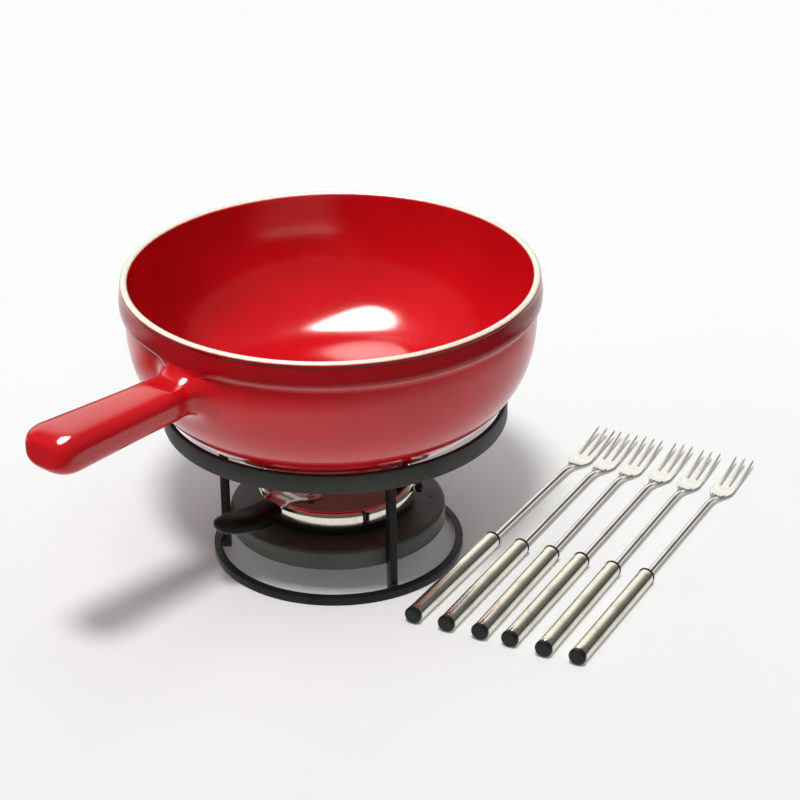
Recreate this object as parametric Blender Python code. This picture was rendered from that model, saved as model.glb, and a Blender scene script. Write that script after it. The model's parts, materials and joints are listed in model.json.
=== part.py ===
"""Fondue set: glazed pot with a side handle, ring stand with three legs, gel burner on a tray,
and six long forks.

Blender 4.5, metres, +Z up.  The set stands on z = 0, with its front towards -Y.  Sizes below are
in millimetres, converted by MM.  Pot, stand and burner are drawn about the stand's axis, with
azimuths in degrees from +X; each fork is drawn along its own +X, from its butt.
"""
import math

import bmesh
import bpy
from mathutils import Matrix, Vector

MM = 0.001
UP = Vector((0.0, 0.0, 1.0))

# ---------------------------------------------------------------- shared and driving dimensions
STAND_X, STAND_Y = -49.111, 19.348  # stand's axis, from the bottom centre of the set's box
GAP = 0.3                  # clearance between neighbouring solids
ARM_TOP_Z = 91.7           # top of the stand's arms, which carry the pot
POT_BASE_Z = ARM_TOP_Z + GAP
TRAY_Z1 = 30.0             # top of the tray, which carries the burner
DISC_Z0, DISC_Z1 = 42.7, 43.7  # the burner's turning disc


# ================================================================ scene and materials
for old in list(bpy.data.objects):
    bpy.data.objects.remove(old, do_unlink=True)


def material(name, colour, roughness, metallic=0.0):
    mat = bpy.data.materials.new(name)
    mat.use_nodes = True
    shader = mat.node_tree.nodes["Principled BSDF"]
    shader.inputs["Base Color"].default_value = (*colour, 1.0)
    shader.inputs["Roughness"].default_value = roughness
    shader.inputs["Metallic"].default_value = metallic
    return mat


GLAZE = material("red_glaze", colour=(0.55, 0.015, 0.02), roughness=0.12)
STAND_PAINT = material("stand_paint", colour=(0.035, 0.037, 0.033), roughness=0.5, metallic=0.2)
TRAY_PAINT = material("tray_paint", colour=(0.05, 0.052, 0.047), roughness=0.55, metallic=0.2)
POLISHED = material("polished_steel", colour=(0.75, 0.73, 0.69), roughness=0.12, metallic=1.0)
SATIN = material("satin_steel", colour=(0.62, 0.58, 0.52), roughness=0.28, metallic=1.0)
BLACK = material("black_plastic", colour=(0.015, 0.017, 0.016), roughness=0.4)
WOOL = material("wick_wool", colour=(0.75, 0.72, 0.65), roughness=0.95)
GAUZE = material("gauze_steel", colour=(0.5, 0.5, 0.5), roughness=0.4, metallic=1.0)


# ================================================================ objects
def add_object(name, data, body=None):
    ob = bpy.data.objects.new(name, data)
    bpy.context.scene.collection.objects.link(ob)
    ob.parent = body
    return ob


def add_body(name, x=0.0, y=0.0, z=0.0, heading=0.0):
    """Empty that carries the pieces of one body; x and y are from the stand's axis."""
    body = add_object(name, None)
    body.location = ((STAND_X + x) * MM, (STAND_Y + y) * MM, z * MM)
    body.rotation_euler.z = math.radians(heading)
    return body


def add_piece(name, bm, body, mat, smooth=True):
    """Mesh drawn in millimetres with heights above z = 0; its origin is put at the body's."""
    bmesh.ops.recalc_face_normals(bm, faces=bm.faces)
    bm.transform(Matrix.Translation((0, 0, -body.location.z)) @ Matrix.Scale(MM, 4))
    mesh = bpy.data.meshes.new(name)
    bm.to_mesh(mesh)
    bm.free()
    if smooth:
        mesh.shade_smooth()
        mesh.set_sharp_from_angle(angle=math.radians(35))
    mesh.materials.append(mat)
    return add_object(name, mesh, body)


def combine(ob, form_name, form_bm, operation="DIFFERENCE"):
    """Cut a hidden helper solid from a piece, or join it on."""
    form = add_piece(form_name, form_bm, ob.parent, BLACK, smooth=False)
    form.hide_render = True
    form.display_type = "WIRE"
    modifier = ob.modifiers.new(form_name, "BOOLEAN")
    modifier.operation = operation
    modifier.solver = "EXACT"
    modifier.object = form


# ================================================================ shapes
def polar(r, azimuth, z=0.0):
    angle = math.radians(azimuth)
    return Vector((r * math.cos(angle), r * math.sin(angle), z))


def radial_frame(azimuth):
    """Unit vectors pointing outwards and, 90 degrees on, sideways."""
    return polar(1.0, azimuth), polar(1.0, azimuth + 90.0)


def section(frame, distance, outline):
    """Upright section facing outwards, from (sideways, z) points."""
    outward, sideways = frame
    return [outward * distance + sideways * y + UP * z for y, z in outline]


def rectangle(x0, x1, z0, z1):
    return [(x0, z0), (x1, z0), (x1, z1), (x0, z1)]


def oval(width, height, z, count, power=2.0):
    """Superellipse centred on height z; power 2 is an ellipse, more is squarer."""
    def squared_off(value):
        return math.copysign(abs(value) ** (2.0 / power), value)

    angles = [2 * math.pi * i / count for i in range(count)]
    return [(width / 2 * squared_off(math.cos(angle)), z + height / 2 * squared_off(math.sin(angle)))
            for angle in angles]


def arc(centre_r, centre_z, radius, start, end, count):
    """Profile points on an arc from start to end degrees, both included."""
    points = []
    for i in range(count):
        angle = math.radians(start + (end - start) * i / (count - 1))
        points.append((centre_r + radius * math.cos(angle), centre_z + radius * math.sin(angle)))
    return points


def revolve(profile, segs):
    """Closed (r, z) profile turned about Z.  Points with r = 0 become one vertex."""
    bm = bmesh.new()
    rings = []
    for r, z in profile:
        if r < 1e-9:
            rings.append([bm.verts.new((0.0, 0.0, z))])
        else:
            rings.append([bm.verts.new(polar(r, 360 * k / segs, z)) for k in range(segs)])
    for a, b in zip(rings, rings[1:] + rings[:1]):
        if len(a) == 1 and len(b) == 1:
            continue
        for k in range(segs):
            j = (k + 1) % segs
            if len(a) == 1:
                bm.faces.new((a[0], b[k], b[j]))
            elif len(b) == 1:
                bm.faces.new((a[k], a[j], b[0]))
            else:
                bm.faces.new((a[k], a[j], b[j], b[k]))
    return bm


def loft(sections):
    """Closed loops of equal length joined by quads, with flat end caps."""
    bm = bmesh.new()
    loops = [[bm.verts.new(point) for point in points] for points in sections]
    for a, b in zip(loops, loops[1:]):
        for k in range(len(a)):
            j = (k + 1) % len(a)
            bm.faces.new((a[k], a[j], b[j], b[k]))
    bm.faces.new(loops[0][::-1])
    bm.faces.new(loops[-1])
    return bm


def upright_rod(x, y, z0, z1, r, segs):
    across = UP.orthogonal().normalized()
    along = UP.cross(across)
    angles = [2 * math.pi * k / segs for k in range(segs)]
    return loft([[Vector((x, y, z)) + (across * math.cos(a) + along * math.sin(a)) * r
                  for a in angles] for z in (z0, z1)])


# ================================================================ pot
POT_X = -0.8               # the pot stands a touch off the stand's axis
POT_FOOT_R = 80.5          # flat foot
POT_RIM_Z, POT_RIM_R = 179.8, 121.7
POT_BAND_R = 123.0         # raised band below the rim
POT_STEP_Z = 162.8         # lower edge of the raised band
POT_BODY_R = 119.7         # body just under the band
POT_INNER_R = 117.0        # mouth
POT_INNER_Z = POT_RIM_Z - 2.0  # top of the inner wall
POT_FLOOR_Z, POT_FLOOR_R = 98.5, 66.0  # cooking surface
POT_FLOOR_DIP = 0.4        # fall of the floor to its centre
POT_SEGS = 60
WALL_Z0, WALL_R0 = 77.9, 53.5  # where the outer wall's curve would end, below the foot
WALL_STEPS, INNER_STEPS = 8, 7

HANDLE_AZ = 227.5
HANDLE_TIP = 227.5         # distance of its tip from the pot's axis
HANDLE_ROOT = 118.3        # where its root is buried in the wall
HANDLE_TAPER_R = 118.0     # where the first width, height and centre height below apply
HANDLE_W0, HANDLE_W1 = 28.0, 38.4
HANDLE_H0, HANDLE_H1 = 20.0, 25.2
HANDLE_Z0, HANDLE_Z1 = 148.6, 150.2
HANDLE_END = 16.0          # length of the rounded end
HANDLE_END_SCALE = 0.45    # width and height left at the tip
FLARE_R = 117.0            # the root's flare fades out from here
FLARE_FADE, WRAP_FADE = 8.0, 9.0
FLARE_WIDTH, FLARE_UP, FLARE_DOWN = 20.0, 9.0, 4.0
HANDLE_SEGS, HANDLE_POWER = 20, 3.2
HANDLE_STATIONS = [HANDLE_ROOT, 120.5, 123.0, 127.0, 133.0, 143.0, 170.0]


def pot_wall_radius(z):
    """Outer wall below the band: a flattened superellipse."""
    drop = ((POT_STEP_Z - z) / (POT_STEP_Z - WALL_Z0)) ** 1.44
    return WALL_R0 + (POT_BODY_R - WALL_R0) * math.sqrt(1.0 - drop * drop) ** 1.613


def pot_profile():
    profile = [(0.0, POT_BASE_Z), (POT_FOOT_R, POT_BASE_Z), (POT_FOOT_R + 2.6, POT_BASE_Z + 0.9)]
    wall_start = POT_BASE_Z + 1.8
    for i in range(1, WALL_STEPS + 1):
        z = wall_start + (POT_STEP_Z - wall_start) * (i / WALL_STEPS) ** 1.35
        # min keeps rounding from passing the end of the curve
        profile.append((pot_wall_radius(min(z, POT_STEP_Z)), z))
    profile += [(POT_BAND_R - 0.4, POT_STEP_Z + 1.2), (POT_BAND_R, 168.5), (POT_RIM_R + 0.4, 176.6)]
    half = 0.5 * (POT_RIM_R - POT_INNER_R)
    profile += arc(POT_INNER_R + half, POT_RIM_Z - half, half, start=14.4, end=165.6, count=4)
    # inner wall: nearly parallel to the outer, with a soft corner at the floor
    for i in range(1, INNER_STEPS):
        depth = (i / INNER_STEPS) ** 0.75
        r = POT_FLOOR_R + (POT_INNER_R - POT_FLOOR_R) * math.sqrt(1.0 - depth ** 2.6)
        profile.append((r, POT_INNER_Z - (POT_INNER_Z - POT_FLOOR_Z) * depth))
    return profile + [(POT_FLOOR_R, POT_FLOOR_Z), (0.0, POT_FLOOR_Z - POT_FLOOR_DIP)]


def handle_section(distance):
    """Rounded-rectangle section of the side handle, flared and wrapped round the pot at its root."""
    t = (distance - HANDLE_TAPER_R) / (HANDLE_TIP - HANDLE_TAPER_R)
    into_end = max(0.0, distance - (HANDLE_TIP - HANDLE_END)) / HANDLE_END
    roundness = math.sqrt(max(0.0, 1.0 - into_end ** 2.4))
    scale = HANDLE_END_SCALE + (1.0 - HANDLE_END_SCALE) * roundness
    flare = math.exp(-(distance - FLARE_R) / FLARE_FADE)
    width = (HANDLE_W0 + (HANDLE_W1 - HANDLE_W0) * t) * scale + FLARE_WIDTH * flare
    height = (HANDLE_H0 + (HANDLE_H1 - HANDLE_H0) * t) * scale
    centre = HANDLE_Z0 + (HANDLE_Z1 - HANDLE_Z0) * t
    top = centre + height / 2 + FLARE_UP * flare
    bottom = centre - height / 2 - FLARE_DOWN * flare
    wrap = math.exp(-(distance - FLARE_R) / WRAP_FADE)
    outward, sideways = radial_frame(HANDLE_AZ)
    points = []
    for y, z in oval(width, top - bottom, 0.5 * (top + bottom), HANDLE_SEGS, HANDLE_POWER):
        setback = (distance - math.sqrt(distance * distance - y * y)) * wrap
        points.append(outward * (distance - setback) + sideways * y + UP * z)
    return points


def build_pot(body):
    bm = revolve(pot_profile(), POT_SEGS)
    bm.transform(Matrix.Translation((POT_X, 0, 0)))
    pot = add_piece("pot", bm, body, GLAZE)
    stations = HANDLE_STATIONS + [
        HANDLE_TIP - HANDLE_END + HANDLE_END * math.sin(math.pi / 2 * i / 4) for i in range(5)]
    combine(pot, "pot_handle_form", loft([handle_section(s) for s in stations]), "UNION")


# ================================================================ stand
LEG_ANGLES = {"left": 180.0, "front_right": -61.5, "rear": 60.0}
LEG_W, LEG_T = 4.8, 5.4    # tangential and radial size of the rectangular bar
LEG_R = 67.2               # centre line of the upright
LEG_BEND, LEG_BEND_STEPS = 7.0, 6
UPPER_RING_R, UPPER_RING_RI = 101.6, 98.8
UPPER_RING_Z0, UPPER_RING_Z1 = 88.2, 99.8
ARM_END_R = UPPER_RING_RI - GAP
LOWER_RING_R, LOWER_RING_RI, LOWER_RING_H = 74.9, 70.2, 5.4
RING_SEGS = 60
TRAY_R, TRAY_Z0, TRAY_SKIN = 64.2, 18.0, 2.0
TRAY_ROUND = 3.4           # outer radius of the tray's edge
TRAY_INNER_BEVEL = 5.0     # inner edge, measured from the tray's outside


def build_rings(body):
    upper = rectangle(UPPER_RING_RI, UPPER_RING_R, UPPER_RING_Z0, UPPER_RING_Z1)
    lower = rectangle(LOWER_RING_RI, LOWER_RING_R, 0.0, LOWER_RING_H)
    add_piece("stand_upper_ring", revolve(upper, RING_SEGS), body, STAND_PAINT)
    add_piece("stand_lower_ring", revolve(lower, RING_SEGS), body, STAND_PAINT)


def build_leg(label, azimuth, body):
    """Rectangular bar: upright, one bend, then a level arm out to the upper ring."""
    arm_z = ARM_TOP_Z - LEG_T / 2
    path = [(LEG_R, 0.0, 0.0)]  # radius, height, lean from upright
    for i in range(LEG_BEND_STEPS + 1):
        lean = math.pi / 2 * i / LEG_BEND_STEPS
        path.append((LEG_R + LEG_BEND * (1 - math.cos(lean)),
                     arm_z - LEG_BEND + LEG_BEND * math.sin(lean), lean))
    path.append((ARM_END_R, arm_z, math.pi / 2))
    outward, sideways = radial_frame(azimuth)
    sections = []
    for r, z, lean in path:
        normal = outward * math.cos(lean) - UP * math.sin(lean)
        sections.append([outward * r + UP * z + normal * across + sideways * y for across, y in
                         rectangle(-LEG_T / 2, LEG_T / 2, -LEG_W / 2, LEG_W / 2)])
    add_piece("stand_leg_" + label, loft(sections), body, STAND_PAINT, smooth=False)


def build_tray(body):
    """Upturned dish under the burner."""
    profile = [
        (0.0, TRAY_Z1 - TRAY_SKIN),
        (TRAY_R - TRAY_INNER_BEVEL, TRAY_Z1 - TRAY_SKIN),
        (TRAY_R - TRAY_SKIN, TRAY_Z1 - TRAY_INNER_BEVEL),
        (TRAY_R - TRAY_SKIN, TRAY_Z0),
        (TRAY_R, TRAY_Z0),
        *arc(TRAY_R - TRAY_ROUND, TRAY_Z1 - TRAY_ROUND, TRAY_ROUND, start=0, end=90, count=4),
        (0.0, TRAY_Z1),
    ]
    add_piece("burner_tray", revolve(profile, 48), body, TRAY_PAINT)


# ================================================================ burner
BASE_R, BASE_H, BASE_WALL, BASE_FLOOR = 45.5, 6.2, 1.5, 1.6
BASE_Z = TRAY_Z1 + GAP
CUP_R, CUP_TOP, CUP_BEVEL, CUP_WALL, CUP_FLOOR = 43.4, 42.0, 1.2, 0.9, 1.0
CUP_Z = BASE_Z + BASE_FLOOR + GAP
WICK_R, WICK_TOP = 41.7, 39.4
WICK_Z = CUP_Z + CUP_FLOOR + GAP
GAUZE_R, GAUZE_Z0, GAUZE_Z1 = 41.9, 39.8, 40.7

BAND_R, BAND_RI, BAND_Z0, BAND_Z1 = 47.3, 45.9, 36.8, 45.6
BAND_ROLL = 2.6            # radius of the rolled upper edge
BAND_LIP_R, BAND_LIP_T = 44.2, 1.2
BAND_SEAM_AZ, BAND_SEAM, BAND_STEPS = -70.0, 1.6, 44
SLOT_AZ0, SLOT_AZ1, SLOT_STEPS = -17.0, 21.0, 5
SLOT_R0, SLOT_R1 = 44.9, 49.5
SLOT_BELOW, SLOT_ABOVE = 1.9, 1.3  # from the height of the stem

COVER_R, COVER_Z0, COVER_Z1 = 43.8, 44.2, 45.2
DISC_R = 42.3
HOLE_R, HOLE_PITCH_R, HOLE_COUNT, CENTRE_HOLE_R = 4.0, 14.5, 6, 6.0

STRAP_FRAME = radial_frame(225.0)
STRAP_T, STRAP_LIP, STRAP_EDGE = 1.4, 0.9, 2.2  # thickness, rise and width of the raised edges
STRAP_STATIONS = [  # distance from the axis, centre height, width
    (24.0, 46.3, 29.0), (26.0, 46.3, 29.4), (34.0, 46.5, 24.5),
    (41.0, 47.3, 20.6), (47.0, 47.9, 18.6), (51.0, 46.9, 17.2),
    (55.0, 45.6, 15.8), (60.0, 44.9, 13.4), (68.0, 44.9, 9.4),
]
RIVET_R = 1.2
RIVET_HOLE_R = RIVET_R + GAP
RIVET_PROFILE = [  # r, z
    (0, 43.95), (RIVET_R, 43.95), (RIVET_R, 47.3), (2.6, 47.3), (2.3, 48.0), (1.3, 48.6), (0, 48.8),
]
RIVETS = [STRAP_FRAME[0] * 29.0 + STRAP_FRAME[1] * side for side in (-7.5, 7.5)]
GRIP_STATIONS = [  # distance from the axis, centre height, width, height
    (53.0, 45.6, 15.0, 8.0), (53.8, 45.4, 18.8, 10.4), (58.0, 44.8, 20.6, 11.6),
    (68.0, 44.8, 21.2, 12.0), (78.0, 46.0, 20.4, 11.6), (87.0, 47.8, 17.6, 10.4),
    (93.0, 49.3, 13.2, 8.4), (96.5, 50.2, 7.0, 4.6),
]
GRIP_SEGS, GRIP_POWER = 14, 2.7
POCKET_STATIONS = [  # distance from the axis, reference height, width
    (50.0, 47.5, 18.4), (51.0, 47.2, 18.0), (55.0, 45.9, 16.6), (60.0, 45.15, 14.2),
    (68.6, 45.15, 9.9),
]
POCKET_BELOW, POCKET_ABOVE = 1.4, 1.9

KNOB_AZ = -13.0
KNOB_FRAME = radial_frame(KNOB_AZ)
KNOB_R0, KNOB_R1 = 47.9, 52.3  # inner and outer end, from the axis
STEM_Z = 0.5 * (DISC_Z0 + DISC_Z1)
KNOB_Z = STEM_Z + 0.5
STEM_W, STEM_T, STEM_DEPTH = 2.2, 1.0, 2.6  # depth is how far it enters the knob
KNOB_STATIONS = [  # distance from the axis, radius
    (KNOB_R0, 2.3), (KNOB_R0 + 0.7, 3.1), (KNOB_R1 - 1.0, 3.1), (KNOB_R1 - 0.3, 2.7), (KNOB_R1, 1.7),
]


def build_burner_stack(body):
    """Base, fuel cup, wick and gauze, from the tray upwards."""
    base_inner, base_top = BASE_R - BASE_WALL, BASE_Z + BASE_H
    base = [(0, BASE_Z), (base_inner, BASE_Z), (BASE_R, BASE_Z + BASE_WALL), (BASE_R, base_top),
            (base_inner, base_top), (base_inner, BASE_Z + BASE_FLOOR), (0, BASE_Z + BASE_FLOOR)]
    add_piece("burner_base", revolve(base, 36), body, BLACK)

    cup_inner = CUP_R - CUP_WALL
    cup = [(0, CUP_Z), (CUP_R - CUP_BEVEL, CUP_Z), (CUP_R, CUP_Z + CUP_BEVEL), (CUP_R, CUP_TOP),
           (cup_inner, CUP_TOP), (cup_inner, CUP_Z + CUP_FLOOR), (0, CUP_Z + CUP_FLOOR)]
    add_piece("fuel_cup", revolve(cup, 36), body, SATIN)

    wick = [(0, WICK_Z), (WICK_R - 0.7, WICK_Z), (WICK_R, WICK_Z + 0.8), (WICK_R, WICK_TOP - 0.8),
            (WICK_R - 1.0, WICK_TOP), (0, WICK_TOP)]
    add_piece("wick_pad", revolve(wick, 24), body, WOOL)
    gauze = rectangle(0, GAUZE_R, GAUZE_Z0, GAUZE_Z1)
    add_piece("wire_gauze", revolve(gauze, 24), body, GAUZE)


def sweep_round(profile, start, end, steps):
    """(r, z) profile swept from one azimuth to another, with closed ends."""
    return loft([[polar(r, start + (end - start) * k / steps, z) for r, z in profile]
                 for k in range(steps + 1)])


def build_band(body):
    """Outer band: a strip bent into a ring, open at its seam, its upper edge rolled inwards."""
    profile = [
        (BAND_RI, BAND_Z0), (BAND_R, BAND_Z0), (BAND_R, BAND_Z1 - BAND_ROLL),
        *arc(BAND_R - BAND_ROLL, BAND_Z1 - BAND_ROLL, BAND_ROLL, start=30, end=90, count=3),
        (BAND_LIP_R, BAND_Z1), (BAND_LIP_R, BAND_Z1 - BAND_LIP_T),
        (BAND_R - 2.8, BAND_Z1 - BAND_LIP_T), (BAND_RI, BAND_Z1 - 2.8),
    ]
    half_seam = math.degrees(BAND_SEAM / 2 / BAND_R)
    ring = sweep_round(profile, BAND_SEAM_AZ + half_seam, BAND_SEAM_AZ + 360 - half_seam, BAND_STEPS)
    band = add_piece("burner_band", ring, body, POLISHED)
    # window through which the regulator's stem moves
    window = rectangle(SLOT_R0, SLOT_R1, STEM_Z - SLOT_BELOW, STEM_Z + SLOT_ABOVE)
    combine(band, "band_window_form", sweep_round(window, SLOT_AZ0, SLOT_AZ1, SLOT_STEPS))


def build_holed_disc(name, r, z0, z1, body, mat, small_holes):
    """Round plate with a centre hole, a ring of flame holes and some (centre, radius) small ones."""
    disc = add_piece(name, revolve(rectangle(0, r, z0, z1), 44), body, mat)
    holes = [(Vector(), CENTRE_HOLE_R)]
    for k in range(HOLE_COUNT):
        holes.append((polar(HOLE_PITCH_R, 360 / HOLE_COUNT * (k + 0.5)), HOLE_R))
    for n, (centre, radius) in enumerate(holes + small_holes):
        segs = 14 if radius > 2 else 8
        form = upright_rod(centre.x, centre.y, z0 - 1.0, z1 + 1.0, radius, segs)
        combine(disc, f"{name}_hole_form_{n}", form)


def strap_outline(z, width):
    """Flat strip with both edges raised."""
    half, edge, t = width / 2, width / 2 - STRAP_EDGE, STRAP_T / 2
    return [(-half, z - t + STRAP_LIP), (-edge, z - t), (edge, z - t), (half, z - t + STRAP_LIP),
            (half, z + t + STRAP_LIP), (edge, z + t), (-edge, z + t), (-half, z + t + STRAP_LIP)]


def build_strap(body):
    """Tapered channel riveted to the cover plate, stepping over the band to the grip."""
    sections = [section(STRAP_FRAME, s, strap_outline(z, width)) for s, z, width in STRAP_STATIONS]
    strap = add_piece("handle_strap", loft(sections), body, POLISHED)
    for n, centre in enumerate(RIVETS):
        hole = upright_rod(centre.x, centre.y, 44, 49, RIVET_HOLE_R, 10)
        combine(strap, f"strap_hole_form_{n}", hole)
        rivet = revolve(RIVET_PROFILE, 10)
        rivet.transform(Matrix.Translation(centre))
        add_piece("handle_rivet_" + "ab"[n], rivet, body, POLISHED)


def build_grip(body):
    """Moulded grip: a rounded bar with a pocket for the end of the strap."""
    sections = [section(STRAP_FRAME, s, oval(width, height, z, GRIP_SEGS, GRIP_POWER))
                for s, z, width, height in GRIP_STATIONS]
    grip = add_piece("handle_grip", loft(sections), body, BLACK)
    pocket = [section(STRAP_FRAME, s, rectangle(-w / 2, w / 2, z - POCKET_BELOW, z + POCKET_ABOVE))
              for s, z, w in POCKET_STATIONS]
    combine(grip, "grip_pocket_form", loft(pocket))


def knob_bar(width, thickness, start, end):
    """Flat bar along the knob's direction, at the height of the stem."""
    outline = rectangle(-width / 2, width / 2, STEM_Z - thickness / 2, STEM_Z + thickness / 2)
    return loft([section(KNOB_FRAME, s, outline) for s in (start, end)])


def build_regulator(body):
    """Turning disc, with a flat stem from just off its edge into a round knob."""
    build_holed_disc("regulator_disc", DISC_R, DISC_Z0, DISC_Z1, body, SATIN,
                     [(polar(38.0, KNOB_AZ), 1.2)])
    stem = knob_bar(STEM_W, STEM_T, DISC_R + GAP, KNOB_R0 + STEM_DEPTH)
    add_piece("regulator_stem", stem, body, SATIN, smooth=False)
    sections = [section(KNOB_FRAME, s, oval(2 * r, 2 * r, KNOB_Z, 16)) for s, r in KNOB_STATIONS]
    knob = add_piece("regulator_knob", loft(sections), body, BLACK)
    bore = knob_bar(STEM_W + 2 * GAP, STEM_T + 2 * GAP, KNOB_R0 - 1.0, KNOB_R0 + STEM_DEPTH + GAP)
    combine(knob, "knob_bore_form", bore)


# ================================================================ forks
FORKS = [  # butt x and y from the stand's axis, heading in degrees
    (43.1, -96.8, 60.9), (61.9, -106.8, 62.1), (80.8, -116.3, 63.0),
    (97.5, -124.6, 62.6), (116.1, -135.9, 63.1), (134.6, -145.0, 62.8),
]
FORK_LEN, FORK_AXIS_Z = 264.0, 5.4
TUBE_R, TUBE_X0, TUBE_X1, TUBE_WALL = 5.0, 3.2, 100.3, 0.9
TUBE_RI = TUBE_R - TUBE_WALL
SPIGOT_R = TUBE_RI - 0.35  # parts that slip inside the tube
CAP_R, COLLAR_R = 5.2, 5.25
SHAFT_R = 1.75
SHAFT_HOLE_R = SHAFT_R + GAP
FORK_SEGS = 18
NECK_X, PLATE_X, TINE_X = 204.0, 221.0, 230.0  # TINE_X is where the tines part
DIP_X0, DIP_X1, DIP_Z = NECK_X - 6, 222.0, 1.7  # the centre line drops to DIP_Z
PLATE_W, PLATE_T = 14.8, 1.8
SHAFT_ANGLES = (15, 45, 75, 105, 135, 165)  # columns round the upper half of the shaft
PLATE_COLUMNS = (PLATE_W / 2, 3.75, 1.9, -1.9, -3.75, -PLATE_W / 2)  # the same columns on the plate
SHAFT_STATIONS = [  # x, flatness from round 0 to plate 1, width when flat
    (95.0, 0.0, 4.0), (DIP_X0, 0.0, 4.0), (NECK_X, 0.0, 4.0), (207.5, 0.35, 4.6),
    (211.0, 0.7, 5.4), (215.0, 1.0, 8.0), (218.5, 1.0, 12.0), (PLATE_X, 1.0, 14.0),
    (224.0, 1.0, PLATE_W), (TINE_X, 1.0, PLATE_W),
]
TINE_STATIONS = [  # x, width, thickness
    (238.0, 3.1, 1.7), (247.0, 2.4, 1.5), (256.0, 1.8, 1.2), (FORK_LEN - 3.0, 1.2, 0.8),
    (FORK_LEN, 0.3, 0.3),
]
TINES = ((0, 6.1), (2, 0.0), (4, -6.1))  # first column, sideways place of the tip


def fork_z(x):
    """Height of the fork's centre line: level shaft, a dip at the neck, tines rising to the tips."""
    if x < DIP_X0:
        return FORK_AXIS_Z
    if x < DIP_X1:
        t = (x - DIP_X0) / (DIP_X1 - DIP_X0)
        return FORK_AXIS_Z + (DIP_Z - FORK_AXIS_Z) * t * t * (3 - 2 * t)
    return DIP_Z + 5.0 * ((x - DIP_X1) / 40.0) ** 1.6


def fork_row(bm, x, flat, width):
    """Upper and lower vertices of one section, between the round shaft and the flat plate."""
    top, bottom = [], []
    for angle, column in zip(SHAFT_ANGLES, PLATE_COLUMNS):
        round_part = polar(SHAFT_R, angle)
        y = round_part.x * (1 - flat) + column * width / PLATE_W * flat
        half = round_part.y * (1 - flat) + PLATE_T / 2 * flat
        top.append(bm.verts.new((x, y, fork_z(x) + half)))
        bottom.append(bm.verts.new((x, y, fork_z(x) - half)))
    return top, bottom


def fork_prongs():
    """Round shaft pressed flat into a plate with three tines, as one closed body."""
    bm = bmesh.new()
    rows = [fork_row(bm, *station) for station in SHAFT_STATIONS]
    for (top_a, bottom_a), (top_b, bottom_b) in zip(rows, rows[1:]):
        for i in range(5):
            bm.faces.new((top_a[i], top_b[i], top_b[i + 1], top_a[i + 1]))
            bm.faces.new((bottom_a[i], bottom_a[i + 1], bottom_b[i + 1], bottom_b[i]))
        for i in (0, 5):
            bm.faces.new((top_a[i], bottom_a[i], bottom_b[i], top_b[i]))
    top, bottom = rows[0]
    bm.faces.new(top + bottom[::-1])
    top, bottom = rows[-1]
    # crotches between the tines
    for i in (1, 3):
        bm.faces.new((top[i], top[i + 1], bottom[i + 1], bottom[i]))
    for i, tip_y in TINES:
        ring = [top[i], top[i + 1], bottom[i + 1], bottom[i]]
        root_y = 0.5 * (PLATE_COLUMNS[i] + PLATE_COLUMNS[i + 1])
        for x, width, thickness in TINE_STATIONS:
            y = root_y + (tip_y - root_y) * (x - TINE_X) / (FORK_LEN - TINE_X)
            next_ring = [
                bm.verts.new((x, y + side * width / 2, fork_z(x) + level * thickness / 2))
                for side, level in ((1, 1), (-1, 1), (-1, -1), (1, -1))]
            for k in range(4):
                j = (k + 1) % 4
                bm.faces.new((ring[k], ring[j], next_ring[j], next_ring[k]))
            ring = next_ring
        bm.faces.new(ring)
    return bm


def turned(profile):
    """(r, x) profile turned about the fork's own axis."""
    bm = revolve(profile, FORK_SEGS)
    bm.transform(Matrix.Translation((0, 0, FORK_AXIS_Z))
                 @ Matrix.Rotation(math.radians(90), 4, "Y"))
    return bm


def build_first_fork(body):
    """Pieces of fork 1, by the last part of their names."""
    tube = rectangle(TUBE_RI, TUBE_R, TUBE_X0, TUBE_X1)
    # end cap: bevelled button with a spigot inside the tube
    cap_face = TUBE_X0 - GAP
    cap = [(0, 9.0), (SPIGOT_R, 9.0), (SPIGOT_R, cap_face), (CAP_R, cap_face),
           (CAP_R, 0.8), (CAP_R - 1.4, 0.0), (0, 0.0)]
    # collar: washer at the tine end of the tube, with a sleeve round the shaft
    sleeve_x, washer_x, collar_x = TUBE_X1 - 7.0, TUBE_X1 + GAP, TUBE_X1 + 2.1
    collar = [(SHAFT_HOLE_R, sleeve_x), (SPIGOT_R, sleeve_x), (SPIGOT_R, washer_x),
              (COLLAR_R, washer_x), (COLLAR_R, TUBE_X1 + 1.6), (COLLAR_R - 0.7, collar_x),
              (SHAFT_HOLE_R, collar_x)]
    return {
        "prongs": add_piece("fork_1_prongs", fork_prongs(), body, SATIN),
        "handle": add_piece("fork_1_handle", turned(tube), body, SATIN),
        "cap": add_piece("fork_1_cap", turned(cap), body, BLACK),
        "collar": add_piece("fork_1_collar", turned(collar), body, BLACK),
    }


def build_forks():
    """Fork 1 is modelled; the others share its meshes."""
    bodies = [add_body(f"body_fork_{n}", x, y, heading=heading)
              for n, (x, y, heading) in enumerate(FORKS, 1)]
    pieces = build_first_fork(bodies[0])
    for n, body in enumerate(bodies[1:], 2):
        for part, piece in pieces.items():
            add_object(f"fork_{n}_{part}", piece.data, body)


# ================================================================ the set
body_stand = add_body("body_stand")
body_pot = add_body("body_pot", z=POT_BASE_Z)
body_burner = add_body("body_burner", z=TRAY_Z1)
body_regulator = add_body("body_regulator", z=DISC_Z0)

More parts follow.
